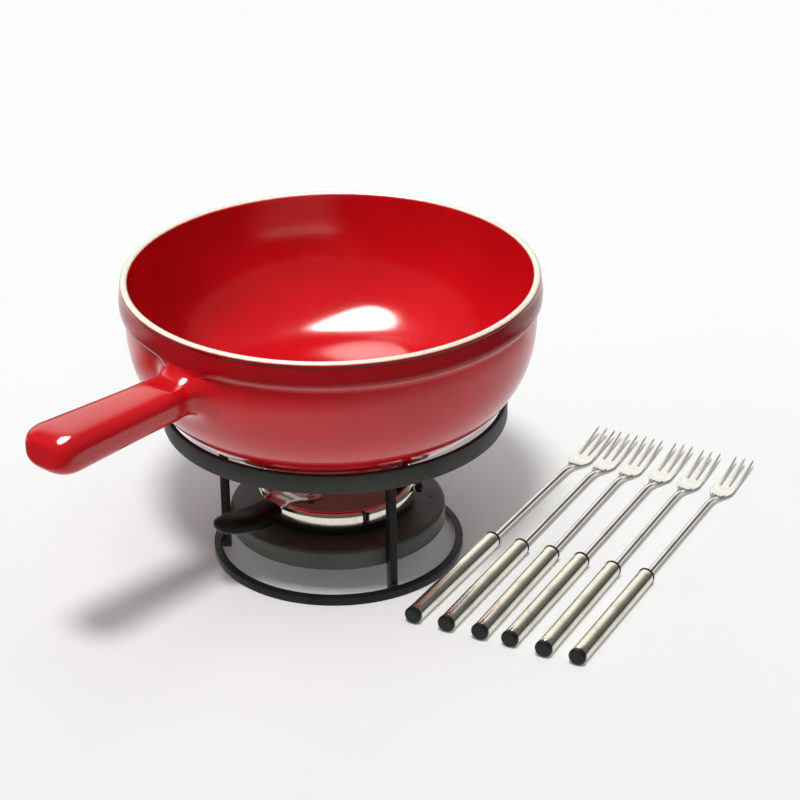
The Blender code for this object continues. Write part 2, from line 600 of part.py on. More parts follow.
build_pot(body_pot)
build_rings(body_stand)
for leg_label, leg_azimuth in LEG_ANGLES.items():
    build_leg(leg_label, leg_azimuth, body_stand)
build_tray(body_stand)
build_burner_stack(body_burner)
build_band(body_burner)
build_holed_disc("cover_plate", COVER_R, COVER_Z0, COVER_Z1, body_burner, POLISHED,
                 [(centre, RIVET_HOLE_R) for centre in RIVETS])
build_strap(body_burner)
build_grip(body_burner)
build_regulator(body_regulator)
build_forks()
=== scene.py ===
"""Fondue set: a red glazed pot on a three-legged stand, a burner on the stand's tray, six forks.

Z is up and the floor is z = 0. The stand's axis is vertical through (STAND_X, STAND_Y). The camera
looks from -Y, so -Y is the front and -X the left. Pieces are drawn in millimetres about the stand
axis, forks in millimetres along their own +X. Azimuths are degrees counter-clockwise from +X.
"""
import json
import math
import random

import bmesh
import bpy
import numpy as np
from mathutils import Matrix, Vector, noise

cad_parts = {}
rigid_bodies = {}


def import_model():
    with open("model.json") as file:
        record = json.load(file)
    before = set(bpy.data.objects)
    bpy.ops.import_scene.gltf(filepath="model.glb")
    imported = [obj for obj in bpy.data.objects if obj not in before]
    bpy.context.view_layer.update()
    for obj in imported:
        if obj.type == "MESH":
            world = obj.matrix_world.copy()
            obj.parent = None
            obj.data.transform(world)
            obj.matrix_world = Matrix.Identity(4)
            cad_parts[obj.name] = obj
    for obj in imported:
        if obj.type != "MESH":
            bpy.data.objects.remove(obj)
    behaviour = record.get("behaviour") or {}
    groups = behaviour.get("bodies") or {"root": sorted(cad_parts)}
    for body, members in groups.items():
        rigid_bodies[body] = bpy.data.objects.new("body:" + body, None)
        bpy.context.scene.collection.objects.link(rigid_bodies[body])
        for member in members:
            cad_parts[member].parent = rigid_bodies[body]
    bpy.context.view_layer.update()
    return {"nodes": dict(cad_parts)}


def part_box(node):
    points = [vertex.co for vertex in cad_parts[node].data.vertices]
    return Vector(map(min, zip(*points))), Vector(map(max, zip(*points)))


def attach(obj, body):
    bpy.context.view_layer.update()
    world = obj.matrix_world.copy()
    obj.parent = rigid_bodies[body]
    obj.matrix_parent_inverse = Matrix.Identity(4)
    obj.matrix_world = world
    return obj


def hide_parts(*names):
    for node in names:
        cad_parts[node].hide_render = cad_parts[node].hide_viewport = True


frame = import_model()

for node in frame["nodes"].values():
    node.hide_render = False

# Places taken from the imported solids: the axis in metres, the heights in millimetres
MM = 0.001
ring_low, ring_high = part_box("stand_lower_ring")
STAND_X, STAND_Y = 0.5 * (ring_low.x + ring_high.x), 0.5 * (ring_low.y + ring_high.y)
STAND_AXIS = Matrix.Translation((STAND_X, STAND_Y, 0.0))
pot_low, pot_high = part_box("pot")
RIM_Z, BASE_Z = pot_high.z * 1000.0, pot_low.z * 1000.0
TRAY_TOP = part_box("burner_tray")[1].z * 1000.0


# ================================================================== numbers and outlines
def clamp(value):
    return max(0.0, min(1.0, value))


def smooth(t):
    return t * t * (3 - 2 * t)


def up(z):
    return Vector((0.0, 0.0, z))


def polar(r, azimuth, z=0.0):
    a = math.radians(azimuth)
    return Vector((r * math.cos(a), r * math.sin(a), z))


def directions(azimuth):
    """Unit vectors outward at an azimuth, and a quarter turn counter-clockwise from it."""
    out = polar(1.0, azimuth)
    return out, Vector((-out.y, out.x, 0.0))


def turn(count):
    return [2 * math.pi * k / count for k in range(count)]


def arc(x, z, radius, angles):
    return [(x + radius * math.cos(a), z + radius * math.sin(a)) for a in angles]


def fillet(points, radii, steps):
    """Rounds the corners of a closed 2D outline; radii is one radius or one per corner."""
    out = []
    for i, point in enumerate(points):
        radius = radii[i] if isinstance(radii, list) else radii
        if radius <= 0:
            out.append(tuple(point))
            continue
        corner = Vector(point)
        before = Vector(points[i - 1]) - corner
        after = Vector(points[(i + 1) % len(points)]) - corner
        len_before, len_after = before.length, after.length
        before, after = before / len_before, after / len_after
        angle = math.acos(max(-1.0, min(1.0, before.dot(after))))
        trim = min(radius / math.tan(angle / 2), 0.48 * len_before, 0.48 * len_after)
        start, end = corner + before * trim, corner + after * trim
        for k in range(steps + 1):
            u = k / steps
            q = start * (1 - u) ** 2 + corner * (2 * u * (1 - u)) + end * u * u
            out.append((q.x, q.y))
    return out


def superellipse(width, height, power, count):
    e = 2.0 / power
    points = []
    for a in turn(count):
        c, s = math.cos(a), math.sin(a)
        points.append((0.5 * width * math.copysign(abs(c) ** e, c),
                       0.5 * height * math.copysign(abs(s) ** e, s)))
    return points


# ================================================================== meshes
def lathe(profile, segs):
    """Turns a closed (radius, z) outline about Z."""
    bm = bmesh.new()
    rings = []
    for r, z in profile:
        if r < 1e-6:
            rings.append([bm.verts.new((0.0, 0.0, z))])
        else:
            rings.append([bm.verts.new((r * math.cos(a), r * math.sin(a), z))
                          for a in turn(segs)])
    for a, b in zip(rings, rings[1:] + rings[:1]):
        if len(a) == 1 and len(b) == 1:
            continue
        for k in range(segs):
            j = (k + 1) % segs
            if len(a) == 1:
                bm.faces.new((a[0], b[k], b[j]))
            elif len(b) == 1:
                bm.faces.new((a[k], a[j], b[0]))
            else:
                bm.faces.new((a[k], a[j], b[j], b[k]))
    return bm


def loft(sections, bm=None, closed=False):
    """Skins a row of loops; the ends are capped, or joined to each other when closed."""
    bm = bm or bmesh.new()
    loops = [[bm.verts.new(p) for p in section] for section in sections]
    pairs = list(zip(loops, loops[1:]))
    if closed:
        pairs.append((loops[-1], loops[0]))
    for a, b in pairs:
        for k in range(len(a)):
            j = (k + 1) % len(a)
            bm.faces.new((a[k], a[j], b[j], b[k]))
    if not closed:
        bm.faces.new(loops[0][::-1])
        bm.faces.new(loops[-1])
    return bm


def circle(centre, u, v, radius, segs):
    return [centre + (u * math.cos(a) + v * math.sin(a)) * radius for a in turn(segs)]


def add_object(name, bm, matrix=STAND_AXIS):
    bmesh.ops.recalc_face_normals(bm, faces=bm.faces)
    mesh = bpy.data.meshes.new(name)
    bm.to_mesh(mesh)
    bm.free()
    mesh.transform(Matrix.Scale(MM, 4))
    ob = bpy.data.objects.new(name, mesh)
    bpy.context.scene.collection.objects.link(ob)
    ob.matrix_world = matrix
    return ob


def shade(mesh, sharp):
    mesh.shade_smooth()
    mesh.set_sharp_from_angle(angle=math.radians(sharp))


def add_piece(name, bm, body, material, replaces=None, sharp=38.0, matrix=STAND_AXIS):
    """Adds a visible piece; edges over `sharp` degrees stay crisp."""
    ob = add_object(name, bm, matrix)
    if sharp is not None:
        shade(ob.data, sharp)
    ob.data.materials.append(material)
    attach(ob, body)
    if replaces:
        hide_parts(replaces)
    return ob


def boolean(ob, forms, operation="DIFFERENCE", sharp=None):
    """Cuts or joins the meshes in forms with exact Booleans and bakes the result."""
    helpers = [add_object("temp", bm) for bm in forms]
    for helper in helpers:
        modifier = ob.modifiers.new("cut", "BOOLEAN")
        modifier.operation = operation
        modifier.solver = "EXACT"
        modifier.object = helper
    bpy.context.view_layer.update()
    depsgraph = bpy.context.evaluated_depsgraph_get()
    mesh = bpy.data.meshes.new_from_object(ob.evaluated_get(depsgraph))
    ob.modifiers.clear()
    old = ob.data
    ob.data = mesh
    mesh.name = ob.name
    bpy.data.meshes.remove(old)
    for helper in helpers:
        data = helper.data
        bpy.data.objects.remove(helper)
        bpy.data.meshes.remove(data)
    if sharp is not None:
        shade(mesh, sharp)


def drill(centre, radius, low, high, segs):
    """An upright rod for boring a hole."""
    p, q = Vector((centre.x, centre.y, low)), Vector((centre.x, centre.y, high))
    axis = (q - p).normalized()
    u = axis.orthogonal().normalized()
    v = axis.cross(u)
    return loft([circle(c, u, v, radius, segs) for c in (p, q)])


# ================================================================== shader graphs
class Graph:
    """Short calls for wiring the node tree of a material or the world."""

    def __init__(self, owner):
        owner.use_nodes = True
        self.owner = owner
        self.tree = owner.node_tree
        self.coords = self.node("ShaderNodeTexCoord").outputs
        self.object_co = self.coords["Object"]

    def node(self, kind, **settings):
        node = self.tree.nodes.new(kind)
        for key, value in settings.items():
            setattr(node, key, value)
        return node

    def feed(self, socket, value):
        """Sets a number or an RGB colour on an input, or links an output to it."""
        if isinstance(value, (int, float)):
            socket.default_value = value
        elif isinstance(value, tuple):
            socket.default_value = (*value, 1.0)
        else:
            self.tree.links.new(value, socket)

    def stretched(self, scale):
        node = self.node("ShaderNodeMapping")
        node.inputs["Scale"].default_value = scale
        self.feed(node.inputs["Vector"], self.object_co)
        return node.outputs["Vector"]

    def noise(self, scale, detail=4.0, rough=0.55, vector=None, distortion=0.0):
        node = self.node("ShaderNodeTexNoise")
        self.feed(node.inputs["Scale"], scale)
        self.feed(node.inputs["Detail"], detail)
        self.feed(node.inputs["Roughness"], rough)
        self.feed(node.inputs["Distortion"], distortion)
        self.feed(node.inputs["Vector"], vector or self.object_co)
        return node.outputs["Fac"]

    def ramp(self, fac, stops):
        node = self.node("ShaderNodeValToRGB")
        elements = node.color_ramp.elements
        while len(elements) < len(stops):
            elements.new(0.5)
        for element, (position, colour) in zip(elements, stops):
            element.position = position
            element.color = (*colour, 1.0)
        self.feed(node.inputs["Fac"], fac)
        return node.outputs["Color"]

    def remap(self, value, to, over=(0.0, 1.0), interpolation="LINEAR"):
        """Maps the range `over` onto the range `to`."""
        node = self.node("ShaderNodeMapRange", interpolation_type=interpolation)
        for name, number in zip(("From Min", "From Max", "To Min", "To Max"), (*over, *to)):
            node.inputs[name].default_value = number
        self.feed(node.inputs["Value"], value)
        return node.outputs["Result"]

    def math(self, operation, a, b=None):
        node = self.node("ShaderNodeMath", operation=operation)
        self.feed(node.inputs[0], a)
        if b is not None:
            self.feed(node.inputs[1], b)
        return node.outputs[0]

    def times(self, a, b):
        return self.math("MULTIPLY", a, b)

    def plus(self, a, b):
        return self.math("ADD", a, b)

    def mix(self, fac, a, b):
        node = self.node("ShaderNodeMix", data_type="RGBA")
        self.feed(node.inputs[0], fac)
        self.feed(node.inputs[6], a)
        self.feed(node.inputs[7], b)
        return node.outputs[2]

    def bump(self, height, strength, distance):
        node = self.node("ShaderNodeBump")
        self.feed(node.inputs["Strength"], strength)
        self.feed(node.inputs["Distance"], distance)
        self.feed(node.inputs["Height"], height)
        return node.outputs["Normal"]

    def attribute(self, name):
        return self.node("ShaderNodeAttribute", attribute_name=name).outputs["Fac"]

    def split(self, vector):
        node = self.node("ShaderNodeSeparateXYZ")
        self.feed(node.inputs[0], vector)
        return node.outputs

    def switch_for_glossy(self, normal, glossy, output):
        """Sends `normal` to the output node, and `glossy` where reflections look at it."""
        node = self.node("ShaderNodeMixShader")
        light_path = self.node("ShaderNodeLightPath")
        self.feed(node.inputs[0], light_path.outputs["Is Glossy Ray"])
        self.feed(node.inputs[1], normal.outputs[0])
        self.feed(node.inputs[2], glossy.outputs[0])
        self.feed(self.tree.nodes[output].inputs["Surface"], node.outputs[0])

    @property
    def principled(self):
        return self.tree.nodes["Principled BSDF"]

    def surface(self, **inputs):
        for name, value in inputs.items():
            self.feed(self.principled.inputs[name.replace("_", " ")], value)
        return self.owner


def new_material(name):
    return Graph(bpy.data.materials.new(name))


# ================================================================== materials
def glaze_material():
    """Red glaze that breaks to cream on the rim and leaves bare clay on the foot."""
    m = new_material("red_glaze")
    red = m.ramp(m.noise(scale=14.0, detail=3.0, rough=0.5),
                 [(0.25, (0.50, 0.0030, 0.0080)), (0.55, (0.60, 0.0045, 0.010)),
                  (0.8, (0.66, 0.008, 0.014))])
    patches = m.remap(m.noise(scale=70.0, rough=0.6), to=(0.0, 0.22), over=(0.45, 0.8))
    red = m.mix(patches, red, (0.42, 0.002, 0.006))
    # cream on the rim, reached through a thin warm band with a wavering edge
    waver = m.times(m.math("SUBTRACT", m.noise(scale=260.0, detail=3.0, rough=0.6), 0.5), 0.35)
    rim = m.plus(m.attribute("rim"), waver)
    rim_mask = m.ramp(rim, [(0.38, (0, 0, 0)), (0.70, (1, 1, 1))])
    cream = m.ramp(m.noise(scale=420.0, detail=3.0, rough=0.6),
                   [(0.3, (0.80, 0.70, 0.56)), (0.7, (0.93, 0.88, 0.78))])
    colour = m.mix(m.remap(rim, to=(0.0, 0.75), over=(0.22, 0.5)), red, (0.62, 0.16, 0.07))
    # painted shade: the band between the step and the rim is darkened towards black-red, the tone it
    # takes where it mirrors a dim room
    colour = m.mix(m.remap(m.attribute("band"), to=(0.0, 0.62)), colour, (0.16, 0.0012, 0.003))
    # painted shadow: a dark line in the crease under the rim's bead
    line = m.remap(m.attribute("line"), to=(0.0, 0.92), over=(0.1, 0.8))
    colour = m.mix(line, colour, (0.045, 0.006, 0.004))
    colour = m.mix(rim_mask, colour, cream)
    # a pale line along the band's lower edge: thinner glaze there, and a painted highlight along the
    # lip
    colour = m.mix(m.times(m.attribute("edge"), 0.42), colour, (0.72, 0.22, 0.17))
    clay_mask = m.remap(m.attribute("foot"), to=(0.0, 0.45), over=(0.80, 1.0))
    clay = m.ramp(m.noise(scale=600.0, rough=0.7),
                  [(0.3, (0.56, 0.46, 0.36)), (0.7, (0.74, 0.65, 0.53))])
    colour = m.mix(clay_mask, colour, clay)
    specks = m.node("ShaderNodeTexVoronoi", feature="F1")
    m.feed(specks.inputs["Scale"], 260.0)
    m.feed(specks.inputs["Vector"], m.object_co)
    dots = m.math("LESS_THAN", specks.outputs["Distance"], 0.055)
    colour = m.mix(m.times(dots, 0.35), colour, (0.22, 0.004, 0.006))
    rough = m.remap(m.noise(scale=38.0, rough=0.6), to=(0.10, 0.19))
    rough = m.plus(rough, m.times(clay_mask, 0.60))
    rough = m.plus(rough, m.times(rim_mask, 0.10))
    height = m.plus(m.times(m.noise(scale=55.0, detail=2.0, rough=0.5), 1.0),
                    m.times(m.noise(scale=900.0, detail=2.0, rough=0.5), 0.06))
    return m.surface(Base_Color=colour, Roughness=rough,
                     Normal=m.bump(height, strength=0.10, distance=0.0006),
                     Specular_IOR_Level=0.55, Coat_Weight=0.35, Coat_Roughness=0.10)


def paint_material(name, dark, light, rough=(0.38, 0.55), grain=1500.0, specular=0.45):
    """Sprayed paint on steel: fine orange peel, faint dust, rubbed edges."""
    m = new_material(name)
    colour = m.ramp(m.noise(scale=45.0, rough=0.6), [(0.3, dark), (0.75, light)])
    pointiness = m.node("ShaderNodeNewGeometry").outputs["Pointiness"]
    worn = m.times(m.remap(pointiness, to=(0.0, 1.0), over=(0.535, 0.60)),
                   m.remap(m.noise(scale=320.0, rough=0.7), to=(0.0, 1.0), over=(0.45, 0.75)))
    colour = m.mix(m.times(worn, 0.35), colour, (0.20, 0.195, 0.18))
    dust = m.remap(m.noise(scale=900.0, detail=2.0, rough=0.5), to=(0.0, 0.18), over=(0.62, 0.75))
    colour = m.mix(dust, colour, (0.16, 0.16, 0.15))
    height = m.plus(m.noise(scale=grain, detail=2.0, rough=0.5),
                    m.times(m.noise(scale=220.0, detail=2.0, rough=0.5), 0.6))
    return m.surface(Base_Color=colour, Roughness=m.remap(m.noise(scale=80.0, rough=0.6), to=rough),
                     Normal=m.bump(height, strength=0.22, distance=0.0002),
                     Specular_IOR_Level=specular)


def steel_material(name, colour, rough, grain, stretch=(1.0, 1.0, 1.0), aniso=0.0, smudge=0.05,
                   bump=0.05, tint=(0.50, 0.44, 0.36)):
    """Stainless steel with drawing lines, tinted smudges and light scratches."""
    m = new_material(name)
    lines = m.noise(scale=grain, detail=5.0, rough=0.65, vector=m.stretched(stretch))
    smear = m.noise(scale=60.0, rough=0.6, distortion=0.6)
    base = m.mix(m.remap(smear, to=(0.0, 0.55), over=(0.50, 0.85)), colour, tint)
    base = m.mix(m.remap(lines, to=(0.0, 0.35), over=(0.4, 0.75)), base,
                 tuple(0.72 * c for c in colour))
    roughness = m.plus(m.remap(lines, to=rough, over=(0.3, 0.7)),
                       m.remap(smear, to=(0.0, smudge), over=(0.4, 0.8)))
    return m.surface(Base_Color=base, Metallic=1.0, Roughness=roughness, Anisotropic=aniso,
                     Normal=m.bump(lines, strength=bump, distance=0.0001))


def plastic_material(name, dark, light, rough, bump, specular):
    m = new_material(name)
    colour = m.ramp(m.noise(scale=90.0, rough=0.6), [(0.3, dark), (0.8, light)])
    scratch = m.noise(scale=700.0, detail=3.0, rough=0.6, vector=m.stretched((1.0, 0.12, 1.0)))
    height = m.plus(m.noise(scale=2600.0, detail=2.0, rough=0.5), m.times(scratch, 0.35))
    return m.surface(Base_Color=colour, Roughness=m.remap(m.noise(scale=140.0, rough=0.6), to=rough),
                     Normal=m.bump(height, strength=bump, distance=0.00012),
                     Specular_IOR_Level=specular)


def wool_material():
    m = new_material("wick_wool")
    fibres = m.noise(scale=1400.0, detail=5.0, rough=0.75, vector=m.stretched((1.0, 0.25, 1.0)))
    colour = m.ramp(fibres, [(0.3, (0.46, 0.42, 0.35)), (0.7, (0.86, 0.83, 0.76))])
    stains = m.noise(scale=50.0, detail=3.0, rough=0.6)
    colour = m.mix(m.remap(stains, to=(0.0, 0.5), over=(0.5, 0.75)), colour, (0.30, 0.22, 0.13))
    return m.surface(Base_Color=colour, Roughness=0.95, Sheen_Weight=0.3,
                     Normal=m.bump(fibres, strength=0.8, distance=0.0006))


# dark marks on a fork's neck, metres in the fork's frame: x, y, radius in x, radius in y
HAMMER_MARKS = [(0.2092, 0.0016, 0.0017, 0.0008), (0.2143, -0.0002, 0.0013, 0.0008),
                (0.2166, -0.0036, 0.0019, 0.0011), (0.2172, 0.0038, 0.0012, 0.0006)]


def fork_material():
    """Steel with painted shade on the head's side walls, and dark marks on necks flagged as
    hammered.
    """
    m = Graph(steel_material("fork_steel", (0.93, 0.91, 0.86), rough=(0.09, 0.18), grain=1900.0,
                             stretch=(0.05, 1.0, 1.0), aniso=0.35, smudge=0.06))
    place = m.split(m.object_co)
    normal_z = m.split(m.node("ShaderNodeTexCoord").outputs["Normal"])["Z"]
    # painted shade: faces of the head that turn sideways are picked out for darkening, like the
    # shade between the tines
    head = m.remap(place["X"], to=(0.0, 1.0), over=(0.206, 0.213))
    wall = m.remap(m.math("ABSOLUTE", normal_z), to=(1.0, 0.0), over=(0.30, 0.80))
    wall = m.times(wall, head)
    marks = None
    for x, y, radius_x, radius_y in HAMMER_MARKS:
        dx = m.math("DIVIDE", m.math("SUBTRACT", place["X"], x), radius_x)
        dy = m.math("DIVIDE", m.math("SUBTRACT", place["Y"], y), radius_y)
        mark = m.remap(m.plus(m.times(dx, dx), m.times(dy, dy)), to=(1.0, 0.0), over=(0.45, 1.3))
        marks = mark if marks is None else m.math("MAXIMUM", marks, mark)
    facing_up = m.remap(normal_z, to=(0.0, 1.0), over=(0.1, 0.5))
    marks = m.times(m.times(marks, m.attribute("hammered")), facing_up)
    steel = m.principled.inputs["Base Color"].links[0].from_socket
    # painted shade on the head's side walls
    colour = m.mix(m.times(wall, 0.80), steel, (0.16, 0.145, 0.125))
    colour = m.mix(m.times(marks, 0.88), colour, (0.055, 0.045, 0.038))
    return m.surface(Base_Color=colour)


GLAZE = glaze_material()
RING_PAINT = paint_material("stand_paint", (0.016, 0.018, 0.015), (0.030, 0.032, 0.027))
# painted shade: a darker, less shiny copy of the stand's paint, for the legs and the lower ring that
# sit in shade under the pot
SHADED_STAND_PAINT = paint_material("leg_paint", (0.006, 0.007, 0.006), (0.013, 0.014, 0.012),
                           rough=(0.42, 0.58), specular=0.24)
TRAY_PAINT = paint_material("tray_paint", (0.056, 0.059, 0.050), (0.086, 0.089, 0.076),
                            rough=(0.42, 0.60), grain=1100.0)
ENAMEL = paint_material("burner_enamel", (0.006, 0.006, 0.006), (0.014, 0.013, 0.012),
                        rough=(0.25, 0.4))
POLISHED = steel_material("polished_steel", (0.96, 0.90, 0.78), rough=(0.07, 0.15), grain=240.0,
                          stretch=(1.0, 1.0, 9.0), aniso=0.2, smudge=0.06, bump=0.03)
# painted reflection: the cover's polished steel is coloured dark red, as it looks when mirroring the
# pot's glazed underside
COVER_STEEL_RED_REFLECTION = steel_material("cover_steel", (0.24, 0.17, 0.15), rough=(0.06, 0.12), grain=160.0,
                             bump=0.02, tint=(0.19, 0.14, 0.12))
STRAP_STEEL = steel_material("strap_steel", (0.56, 0.50, 0.46), rough=(0.17, 0.27), grain=160.0,
                             bump=0.02)
SATIN = steel_material("satin_steel", (0.62, 0.60, 0.56), rough=(0.22, 0.38), grain=300.0,
                       stretch=(1.0, 1.0, 12.0), aniso=0.3)
FORK_STEEL = fork_material()
TUBE_STEEL = steel_material("handle_steel", (0.98, 0.92, 0.77), rough=(0.12, 0.22), grain=2600.0,
                            stretch=(0.03, 1.0, 1.0), aniso=0.55, bump=0.10,
                            tint=(0.44, 0.37, 0.29))
GAUZE_STEEL = steel_material("gauze_steel", (0.50, 0.49, 0.47), rough=(0.3, 0.45), grain=500.0)
BLACK = plastic_material("black_plastic", (0.008, 0.010, 0.009), (0.014, 0.017, 0.015),
                         rough=(0.28, 0.42), bump=0.18, specular=0.3)
GRIP_PLASTIC = plastic_material("grip_plastic", (0.005, 0.004, 0.004), (0.010, 0.008, 0.008),
                                rough=(0.30, 0.42), bump=0.08, specular=0.13)
WOOL = wool_material()
WELD_PAINT = paint_material("weld_paint", (0.014, 0.016, 0.013), (0.032, 0.033, 0.028),
                            rough=(0.35, 0.5), grain=600.0)

# ================================================================== pot
POT_X = -0.8                    # pot axis from the stand axis
POT_SEGS = 200
STEP_Z = 162.8                  # lower edge of the band below the rim
BAND_TOP_Z = 176.4
BODY_R, RIM_R, INNER_R = 119.7, 121.7, 117.0
BOTTOM_R, BOTTOM_Z = 53.5, 77.9  # where the body curve starts
FLOOR_Z, FLOOR_R, WALL_POWER = 98.5, 66.0, 2.6
HANDLE_OUT, HANDLE_SIDE = directions(227.5)
HANDLE_ROOT, HANDLE_TIP, TIP_LENGTH = 118.0, 227.05, 16.0   # distances from the stand axis
BLEND = 15.0                    # width of the fillet round the handle's root

# underside: radius, height over the base, bare clay amount
FOOT = [(0.0, 1.2, 0.0), (30.0, 1.2, 0.0), (66.0, 1.1, 0.1), (69.0, 0.9, 1.0), (70.5, 0.25, 1.0),
        (72.0, 0.02, 1.0), (75.0, 0.0, 1.0), (78.0, 0.02, 1.0), (79.6, 0.15, 1.0),
        (80.7, 0.5, 1.0), (82.0, 1.0, 0.45)]
# cove and rounded lip under the band: distance out from the body, height over the step, pale edge
# (thinner glaze and a painted highlight)
LIP = [(0.10, -0.45, 0.15), (0.35, -0.05, 0.45), (1.0, 0.30, 0.9), (1.8, 0.68, 1.0),
       (2.4, 1.15, 0.7), (2.8, 1.75, 0.3), (2.98, 2.4, 0.1)]
BODY_STEPS, BAND_STEPS, RIM_STEPS = 46, 12, 16
# the stretch of the profile that the handle blends into: the last foot point to the rim's shoulder
OUTER_START = len(FOOT) - 1
OUTER_END = len(FOOT) + BODY_STEPS + 1 + len(LIP) + BAND_STEPS + 5


def body_radius(z):
    c = max(0.0, (STEP_Z - z) / (STEP_Z - BOTTOM_Z)) ** 1.44
    return BOTTOM_R + (BODY_R - BOTTOM_R) * math.sqrt(max(0.0, 1.0 - c * c)) ** 1.613


def raw_inner_z(r):
    """Cooking side over radius: a faintly dished floor, then a wall that steepens to upright."""
    if r <= FLOOR_R:
        return FLOOR_Z - 0.38 * (1.0 - (r / FLOOR_R) ** 2)
    q = min(1.0, (r - FLOOR_R) / (INNER_R - FLOOR_R))
    return FLOOR_Z + (RIM_Z - 2.0 - FLOOR_Z) * (1.0 - (1.0 - q * q) ** (1 / WALL_POWER))


def inner_z(r):
    """raw_inner_z averaged over a sliding window, so floor and wall meet without a line."""
    window = min(20.0, 0.55 * max(0.0, INNER_R - r))
    total = weighted = 0.0
    for k in range(-10, 11):
        weight = 1.0 + math.cos(math.pi * k / 11)
        total += weight
        weighted += weight * raw_inner_z(abs(r + window * k / 10))
    return weighted / total


def pot_profile():
    """(r, z, rim, edge, foot) from the middle of the underside to the middle of the floor."""
    p = [(r, BASE_Z + height, 0, 0, foot) for r, height, foot in FOOT]
    for i in range(BODY_STEPS + 1):
        z = BASE_Z + 1.7 + (STEP_Z - 0.9 - BASE_Z - 1.7) * (i / BODY_STEPS) ** 1.25
        p.append((body_radius(z), z, 0, 0, 0))
    top_r = body_radius(STEP_Z - 0.9)
    p += [(top_r + out, STEP_Z + height, 0, edge, 0) for out, height, edge in LIP]
    lip_out, lip_height, _ = LIP[-1]
    for i in range(1, BAND_STEPS + 1):
        z = STEP_Z + lip_height + (BAND_TOP_Z - STEP_Z - lip_height) * i / BAND_STEPS
        t = (z - STEP_Z - lip_height) / (BAND_TOP_Z - STEP_Z - lip_height)
        bulge = 0.2 * math.sin(math.pi * min(1.0, t * 1.4))
        p.append((top_r + lip_out + bulge - 1.25 * t ** 2.2, z, 0, 0, 0))
    # half-round rim
    centre, half = 0.5 * (RIM_R + INNER_R), 0.5 * (RIM_R - INNER_R)
    for i in range(RIM_STEPS + 1):
        a = math.pi * i / RIM_STEPS
        s = math.sin(a)
        rim = clamp(s * 2.0 - 0.55) if a < math.pi / 2 else clamp(s * 2.2 - 0.80)
        p.append((centre + half * math.cos(a), RIM_Z - half + half * s, rim, 0, 0))
    p.append((INNER_R, RIM_Z - 4.0, 0, 0, 0))
    for i in range(1, 25):
        t = 0.965 - 0.60 * i / 24
        r = FLOOR_R + (INNER_R - FLOOR_R) * math.sqrt(1.0 - (1.0 - t) ** WALL_POWER)
        p.append((r, min(RIM_Z - 4.3, inner_z(r)), 0, 0, 0))
    wall_foot = p[-1][0]
    for i in range(1, 49):
        r = wall_foot * (1 - i / 48)
        p.append((r, inner_z(r), 0, 0, 0))
    return p


def pot_bowl(profile):
    bm = bmesh.new()
    rings = [[bm.verts.new((r * math.cos(a) + POT_X, r * math.sin(a), z))
              for a in turn(1 if r < 1e-6 else POT_SEGS)] for r, z, *_ in profile]
    for a, b in zip(rings, rings[1:]):
        for k in range(POT_SEGS):
            j = (k + 1) % POT_SEGS
            if len(a) == 1:
                bm.faces.new((a[0], b[j], b[k]))
            elif len(b) == 1:
                bm.faces.new((a[j], a[k], b[0]))
            else:
                bm.faces.new((a[j], a[k], b[k], b[j]))
    return bm


def handle_bar(distance):
    """Width, height and centre height of the handle; takes a number or an array."""
    t = np.clip((distance - HANDLE_ROOT) / (HANDLE_TIP - HANDLE_ROOT), 0, 1)
    into_tip = np.clip((distance - (HANDLE_TIP - TIP_LENGTH)) / TIP_LENGTH, 0, 1)
    taper = 0.45 + 0.55 * np.sqrt(np.clip(1.0 - into_tip ** 2.4, 0, 1))
    return (28.0 + 10.4 * t) * taper, (20.0 + 5.2 * t) * taper, 148.6 + 1.6 * t


def handle_section(distance):
    """One loop of the handle, flared and bent round the pot's wall near the root."""
    width, height, centre = handle_bar(distance)
    past_wall = max(0.0, distance - 117.0)
    flare = math.exp(-past_wall / 8.0)
    top = centre + height / 2 + 8.0 * flare
    bottom = centre - height / 2 - 3.5 * flare
    points = []
    for y, z in superellipse(width + 16.0 * flare, top - bottom, 3.0, 72):
        wrap = (distance - math.sqrt(distance * distance - y * y)) * math.exp(-past_wall / 9.0)
        points.append(HANDLE_OUT * (distance - wrap) + HANDLE_SIDE * y
                      + up(0.5 * (top + bottom) + z))
    return points


def handle_form():
    tip_start = HANDLE_TIP - TIP_LENGTH
    stations = [117.8 + 17.2 * (i / 14) ** 1.3 for i in range(15)]
    stations += [139.0 + (tip_start - 139.0) * i / 22 for i in range(23)]
    stations += [tip_start + TIP_LENGTH * math.sin(math.pi / 2 * i / 14) for i in range(1, 15)]
    return loft([handle_section(s) for s in stations])


def pot_distance(p, outline):
    """Signed distance of points (n, 3) from the outer outline, positive outside; good near it."""
    q = np.stack([np.hypot(p[:, 0] - POT_X, p[:, 1]), p[:, 2]], 1)
    best, sign = np.full(len(q), 1e9), np.ones(len(q))
    for start, step in zip(outline[:-1], outline[1:] - outline[:-1]):
        t = np.clip(((q - start) @ step) / (step @ step), 0, 1)
        v = q - (start + t[:, None] * step)
        distance = np.hypot(v[:, 0], v[:, 1])
        side = np.sign(v[:, 0] * step[1] - v[:, 1] * step[0])
        nearer = distance < best
        best[nearer], sign[nearer] = distance[nearer], side[nearer]
    return best * sign


def handle_distance(p):
    """Approximate signed distance of points from the handle's rounded bar."""
    y, z = p @ np.array(HANDLE_SIDE), p[:, 2]
    width, height, centre = handle_bar(p @ np.array(HANDLE_OUT))
    u, v = np.abs(y) / (width / 2), np.abs(z - centre) / (height / 2)
    reach = (u ** 3.0 + v ** 3.0) ** (1 / 3.0)
    return np.hypot(y, z - centre) * (1.0 - 1.0 / np.maximum(reach, 1e-6))


